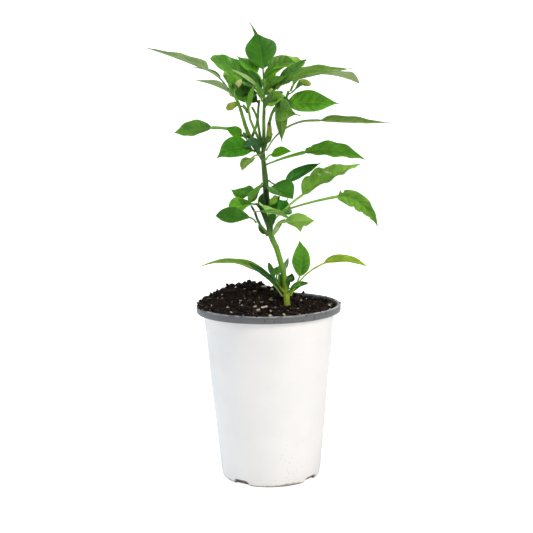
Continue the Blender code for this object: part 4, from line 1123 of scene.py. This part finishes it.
# ------------------------------------------------------------------ young leaves
# The youngest leaves, still half folded and on very short stalks: most are packed round the shoot
# tips of the crown, and a few stand at the forks and at the stem's foot.
# name: (foot, middle and tip in mm, half width, fold in degrees, way up, green, finish, quilting)
YOUNG_LEAVES = {
    "tuft_dark_left": ([(-4.5, 7.0, 278.5), (-15.6, 8.0, 284.9), (-27.1, 9.0, 296.7)],
        7.5, 14, (0.15, -0.9, 0.45), (0.046, 0.154, 0.015), "glossy", 0.35),
    "tuft_slim_left": ([(-12.0, -11.0, 271.5), (-11.0, -12.0, 282.8), (-8.0, -13.0, 290.5)],
        1.7, 25, (0.3, -0.9, 0.1), (0.116, 0.298, 0.022), "glossy", 0.10),
    "tuft_rolled_edge": ([(-1.6, -2.0, 284.5), (-11.6, -9.0, 294.1), (-23.5, -13.0, 301.7)],
        1.6, 30, (0.3, -0.8, 0.6), (0.290, 0.466, 0.142), "satin", 0.10),
    "tuft_bright": ([(-0.6, -1.5, 292.5), (6.4, -6.0, 298.9), (15.0, -7.0, 303.7)],
        2.4, 25, (-0.3, -0.8, 0.7), (0.132, 0.353, 0.010), "glossy", 0.20),
    "tuft_right": ([(7.5, -1.0, 289.0), (17.1, -6.0, 298.0), (30.1, -8.0, 308.3)],
        4.2, 22, (-0.2, -0.9, 0.5), (0.072, 0.212, 0.022), "glossy", 0.25),
    "tuft_curled": ([(1.5, -4.0, 277.5), (6.1, -8.0, 282.5), (13.3, -9.0, 285.3)],
        2.9, 30, (-0.2, -0.9, 0.3), (0.154, 0.290, 0.055), "satin", 0.30),
    "tuft_arched": ([(13.0, 0.5, 290.5), (19.3, -3.0, 294.4), (28.6, -5.0, 295.7)],
        1.9, 25, (-0.2, -0.8, 0.7), (0.205, 0.382, 0.052), "glossy", 0.15),
    "tuft_low_right": ([(6.2, -10.5, 272.5), (11.0, -12.0, 279.0), (18.9, -13.0, 276.7)],
        3.4, 22, (0.0, -0.9, 0.4), (0.040, 0.132, 0.026), "glossy", 0.25),
    "tuft_inner": ([(-1.4, -2.0, 282.5), (1.9, -5.0, 286.9), (4.8, -7.0, 292.5)],
        2.2, 25, (0.1, -0.9, 0.3), (0.065, 0.185, 0.017), "glossy", 0.20),
    "tuft_left_small": ([(-22.0, -10.0, 282.8), (-22.9, -12.0, 294.3), (-25.7, -12.0, 297.9)],
        2.6, 20, (0.2, -0.9, 0.4), (0.111, 0.334, 0.024), "glossy", 0.20),
    "mid_dark_left": ([(2.2, -4.5, 184.5), (-4.4, -8.0, 205.0), (-2.8, -10.0, 213.2)],
        2.3, 20, (0.2, -0.9, 0.3), (0.024, 0.093, 0.012), "glossy", 0.20),
    "mid_dark_right": ([(3.6, -4.5, 181.5), (4.3, -7.0, 203.3), (9.5, -8.0, 210.6)],
        3.4, 20, (-0.1, -0.9, 0.4), (0.033, 0.132, 0.015), "glossy", 0.25),
    "mid_front_band": ([(-9.5, -10.5, 200.0), (6.4, -14.0, 199.3), (16.4, -15.0, 194.5)],
        2.0, 22, (0.1, -0.8, 0.7), (0.191, 0.382, 0.069), "glossy", 0.20),
    "base_tuft_left": ([(8.3, -8.6, 144.5), (-4.4, -13.0, 155.8), (-14.5, -15.0, 162.9)],
        2.1, 22, (0.2, -0.9, 0.4), (0.020, 0.102, 0.010), "glossy", 0.20),
    "base_tuft_front": ([(5.8, -8.9, 148.0), (1.8, -13.0, 157.9), (0.4, -14.0, 163.2)],
        1.9, 22, (0.1, -0.9, 0.4), (0.062, 0.198, 0.026), "glossy", 0.20),
    "base_tuft_right": ([(15.2, -9.0, 142.5), (14.4, -13.0, 148.9), (18.1, -15.0, 152.1)],
        1.6, 20, (0.1, -0.9, 0.4), (0.052, 0.172, 0.024), "glossy", 0.20),
    "fork_dark_left": ([(-3.6, -1.2, 240.5), (-8.8, -9.0, 249.3), (-17.4, -13.0, 246.7)],
        3.6, 16, (0.2, -0.9, 0.5), (0.028, 0.111, 0.030), "glossy", 0.25),
    "tuft_top_back": ([(-0.2, 1.0, 288.5), (6.5, 3.0, 301.1), (13.8, 5.0, 306.7)],
        3.4, 16, (-0.2, -0.9, 0.4), (0.052, 0.166, 0.020), "glossy", 0.25),
    "tuft_core_right": ([(-0.8, -1.4, 281.5), (0.5, -5.0, 288.3), (1.3, -6.0, 296.1)],
        1.5, 25, (0.1, -0.95, 0.2), (0.154, 0.334, 0.033), "glossy", 0.15),
    "tuft_core_left": ([(-1.8, -1.4, 278.5), (-4.6, -6.0, 285.5), (-5.9, -8.0, 292.6)],
        1.7, 25, (0.2, -0.95, 0.2), (0.102, 0.281, 0.024), "glossy", 0.15),
    "tuft_back_right": ([(0.0, 1.2, 284.0), (7.8, 4.0, 291.1), (15.9, 5.0, 294.5)],
        3.6, 18, (-0.2, -0.9, 0.4), (0.043, 0.142, 0.015), "glossy", 0.25),
    "tuft_back_left": ([(-2.0, 1.0, 287.0), (-11.1, 5.0, 292.8), (-19.1, 6.0, 291.5)],
        4.0, 16, (0.2, -0.9, 0.4), (0.035, 0.132, 0.014), "glossy", 0.25),
    "tuft_gap_right": ([(-0.5, 0.8, 291.0), (3.6, 1.0, 299.7), (10.2, 2.0, 306.0)],
        3.0, 18, (-0.2, -0.9, 0.3), (0.084, 0.257, 0.017), "glossy", 0.25),
    "tuft_gap_left": ([(-1.4, 1.0, 285.0), (-6.6, 3.0, 294.9), (-13.1, 4.0, 301.4)],
        3.0, 18, (0.2, -0.9, 0.3), (0.033, 0.126, 0.012), "glossy", 0.25),
    "tuft_low_centre": ([(-0.8, -1.3, 273.5), (3.2, -6.0, 280.4), (7.6, -8.0, 284.7)],
        2.2, 24, (0.0, -0.9, 0.4), (0.093, 0.205, 0.043), "satin", 0.20),
    "tuft_low_back": ([(-5.0, 6.0, 277.5), (-9.8, 7.0, 281.2), (-14.1, 7.0, 286.4)],
        3.4, 18, (0.1, -0.9, 0.3), (0.024, 0.102, 0.011), "glossy", 0.20),
    "fork_pale_strip": ([(2.5, -3.5, 179.5), (7.0, -6.5, 186.4), (12.2, -8.0, 193.8)],
        1.6, 26, (-0.3, -0.9, 0.2), (0.423, 0.586, 0.290), "satin", 0.10),
    "fork_left_bract": ([(-0.4, -2.0, 180.8), (-4.0, -4.0, 186.3), (-6.1, -5.0, 190.8)],
        2.1, 30, (-0.3, -0.9, 0.2), (0.046, 0.132, 0.018), "glossy", 0.20),
    "base_low_left": ([(12.3, -2.0, 137.4), (6.4, -4.0, 145.3), (0.7, -5.0, 153.0)],
        2.9, 26, (-0.2, -0.9, 0.4), (0.062, 0.205, 0.020), "satin", 0.30),
    "base_low_right": ([(14.5, -2.0, 136.6), (21.2, -4.0, 143.6), (30.0, -5.0, 145.9)],
        2.6, 26, (0.1, -0.8, 0.6), (0.072, 0.226, 0.026), "satin", 0.30),
    "base_inner": ([(12.3, -2.0, 139.6), (9.4, -5.0, 147.7), (8.0, -6.0, 153.8)],
        2.2, 26, (0.0, -0.9, 0.3), (0.093, 0.257, 0.030), "satin", 0.30),
}


YOUNG_RINGS = 13
YOUNG_STALK = 0.14              # share of its length
YOUNG_RIPPLE, YOUNG_WAVES = 0.3, 2.0


def young_shape(route, half_width, fold, facing):
    """The same frame that a CAD leaf gives, for a short leaf along a route."""
    rings = YOUNG_RINGS
    line = smooth_run(route, rings + 1)
    stalk = np.linspace(0, YOUNG_STALK, STALK_RINGS, endpoint=False)
    shares = np.concatenate([stalk, np.linspace(YOUNG_STALK, 1, rings + 1 - STALK_RINGS)])
    spine = np.array([knots(line, np.array([share * rings]))[0] for share in shares])
    ways = np.gradient(spine, axis=0)
    ways /= np.linalg.norm(ways, axis=1)[:, None]
    minus, plus, ups, ribs = [], [], [], []
    for number in range(rings):
        up = np.asarray(facing, float)
        up = up - ways[number] * (up @ ways[number])
        up /= np.linalg.norm(up)
        side = np.cross(ways[number], up)
        along = max(0.0, (shares[number] - YOUNG_STALK) / (1 - YOUNG_STALK))
        half = THIN_HALF
        if number >= STALK_RINGS:
            half += half_width * math.sin(math.pi * min(1.0, along) ** 0.75) ** 0.9
        lean = math.radians(fold)
        plus.append(half * (math.cos(lean) * side + math.sin(lean) * up))
        minus.append(half * (-math.cos(lean) * side + math.sin(lean) * up))
        ups.append(up)
        ribs.append(0.45 - 0.25 * shares[number])
    return spine, np.array(minus), np.array(plus), np.array(ups), np.array(ribs)


for name, (route, half_width, fold, facing, green, finish, quilt) in YOUNG_LEAVES.items():
    points, faces, values = grow_leaf(name, young_shape(route, half_width, fold, facing), green,
                                      quilt, YOUNG_RIPPLE, YOUNG_WAVES)
    new_piece(name, points, faces, [LEAF_FINISHES[finish]], marks=values, sharp=62.0)

# ------------------------------------------------------------------ buds, flower and fruit
# Pale green buds on thin nodding stalks, each in a ribbed green cup with cream petals folded
# shut; one spent flower with a browned top, and one young fruit still in its cup.
BUD_SIDES = 16
BUDS = {                        # node: (green, petal colour, top colour, where the petals start)
    "bud_left": ((0.100, 0.217, 0.011), (0.25, 0.32, 0.035), (0.33, 0.35, 0.06), 0.62),
    "bud_cream": ((0.05, 0.17, 0.010), (0.42, 0.45, 0.15), (0.56, 0.52, 0.28), 0.60),
    "bud_small_left": ((0.078, 0.320, 0.009), (0.23, 0.41, 0.05), (0.36, 0.48, 0.12), 0.80),
    "bud_right": ((0.06, 0.16, 0.007), (0.17, 0.26, 0.022), (0.32, 0.37, 0.09), 0.68),
    "spent_flower": ((0.080, 0.182, 0.008), (0.20, 0.27, 0.028), (0.06, 0.026, 0.012), 0.55),
    "young_fruit": ((0.285, 0.657, 0.032), (0.36, 0.56, 0.065), (0.46, 0.56, 0.10), 0.60),
    "bud_crown": ((0.098, 0.388, 0.026), (0.34, 0.50, 0.09), (0.42, 0.54, 0.14), 0.6),
    "bud_tuft": ((0.05, 0.13, 0.005), (0.13, 0.23, 0.014), (0.21, 0.29, 0.03), 0.6),
    "bud_fork": ((0.018, 0.088, 0.004), (0.08, 0.18, 0.010), (0.13, 0.22, 0.018), 0.6),
}


def bud_rings(node):
    """Centres and radii of a CAD bud's rings, from the foot of its stalk to its top."""
    points, joined = welded(node)
    best = None
    order = sorted(range(len(points)), key=lambda k: stem_tree.find_nearest(Vector(points[k]))[3])
    for first in order[:8]:
        near = sorted(range(len(points)), key=lambda k: np.linalg.norm(points[k] - points[first]))
        ring = set(near[:8])
        rings = rings_from(joined, ring)
        if all(len(r) == 8 for r in rings):
            best = rings
            break
    if best is None:
        best = rings_from(joined, set(order[:8]))
    centres = [np.mean([points[k] for k in ring], axis=0) for ring in best]
    radii = [np.mean([np.linalg.norm(points[k] - centre) for k in ring])
             for ring, centre in zip(best, centres)]
    return np.array(centres), np.array(radii)


for node, (green, petal, crown, start) in BUDS.items():
    centres, radii = bud_rings(node)
    steps = 56
    where = np.linspace(0, len(centres) - 1, steps)
    run, girth = knots(centres, where), np.maximum(knots(radii, where), 0.2)
    share = np.linspace(0, 1, steps)
    closing = np.sqrt(np.clip(1 - ((share - 0.90) / 0.10).clip(0, 1) ** 2, 0.02, 1))
    girth = girth * closing
    run[0] = inside_stem(run[0], 0.4)
    points, faces = tube(run, girth, BUD_SIDES)
    points = np.array(points)
    around = np.tile(np.arange(BUD_SIDES) * 2 * math.pi / BUD_SIDES, steps)
    down = np.repeat(share, BUD_SIDES)
    centre_of = np.repeat(run, BUD_SIDES, axis=0)
    open_part = np.clip((down - start) / 0.06, 0, 1)
    swell = 1 + 0.07 * np.cos(5 * around) * open_part
    cup = np.exp(-((down - start + 0.03) / 0.035) ** 2)
    swell += cup * (0.16 + 0.10 * np.cos(5 * around + 1.0))
    points = centre_of + (points - centre_of) * swell[:, None]
    skin, tree, shader, spot = new_material(node + "_skin", Roughness=0.48, Specular_IOR_Level=0.22)
    along = mark_of(tree, "along")
    ribs = mark_of(tree, "ribs")
    noise = noise_of(tree, spot, 650.0, 4.0)
    edge = sum_of(tree, "ADD", along, sum_of(tree, "MULTIPLY_ADD", ribs, 0.05,
                  sum_of(tree, "MULTIPLY_ADD", noise, 0.06, -0.03)))
    colour = blend_of(tree, ramp_of(tree, edge, start - 0.01, start + 0.03),
                      (*green, 1.0), (*petal, 1.0))
    colour = blend_of(tree, ramp_of(tree, edge, 0.86, 0.97), colour, (*crown, 1.0))
    shade = mottled(tree, spot, 800.0, (1.0, 1.0, 1.0), (0.72, 0.76, 0.68))
    colour = blend_of(tree, 1.0, colour, shade, "MULTIPLY")
    colour = blend_of(tree, ramp_of(tree, ribs, 0.5, 1.0, 0.0, 0.25), colour,
                      tuple(0.5 * c for c in green) + (1.0,))
    feed(shader, "Base Color", colour)
    relief(tree, shader, noise, 0.3, 0.0003)
    new_piece(node + "_body", points, faces, [skin], [node],
              marks={"along": down, "ribs": 0.5 - 0.5 * np.cos(5 * around)}, sharp=180.0)
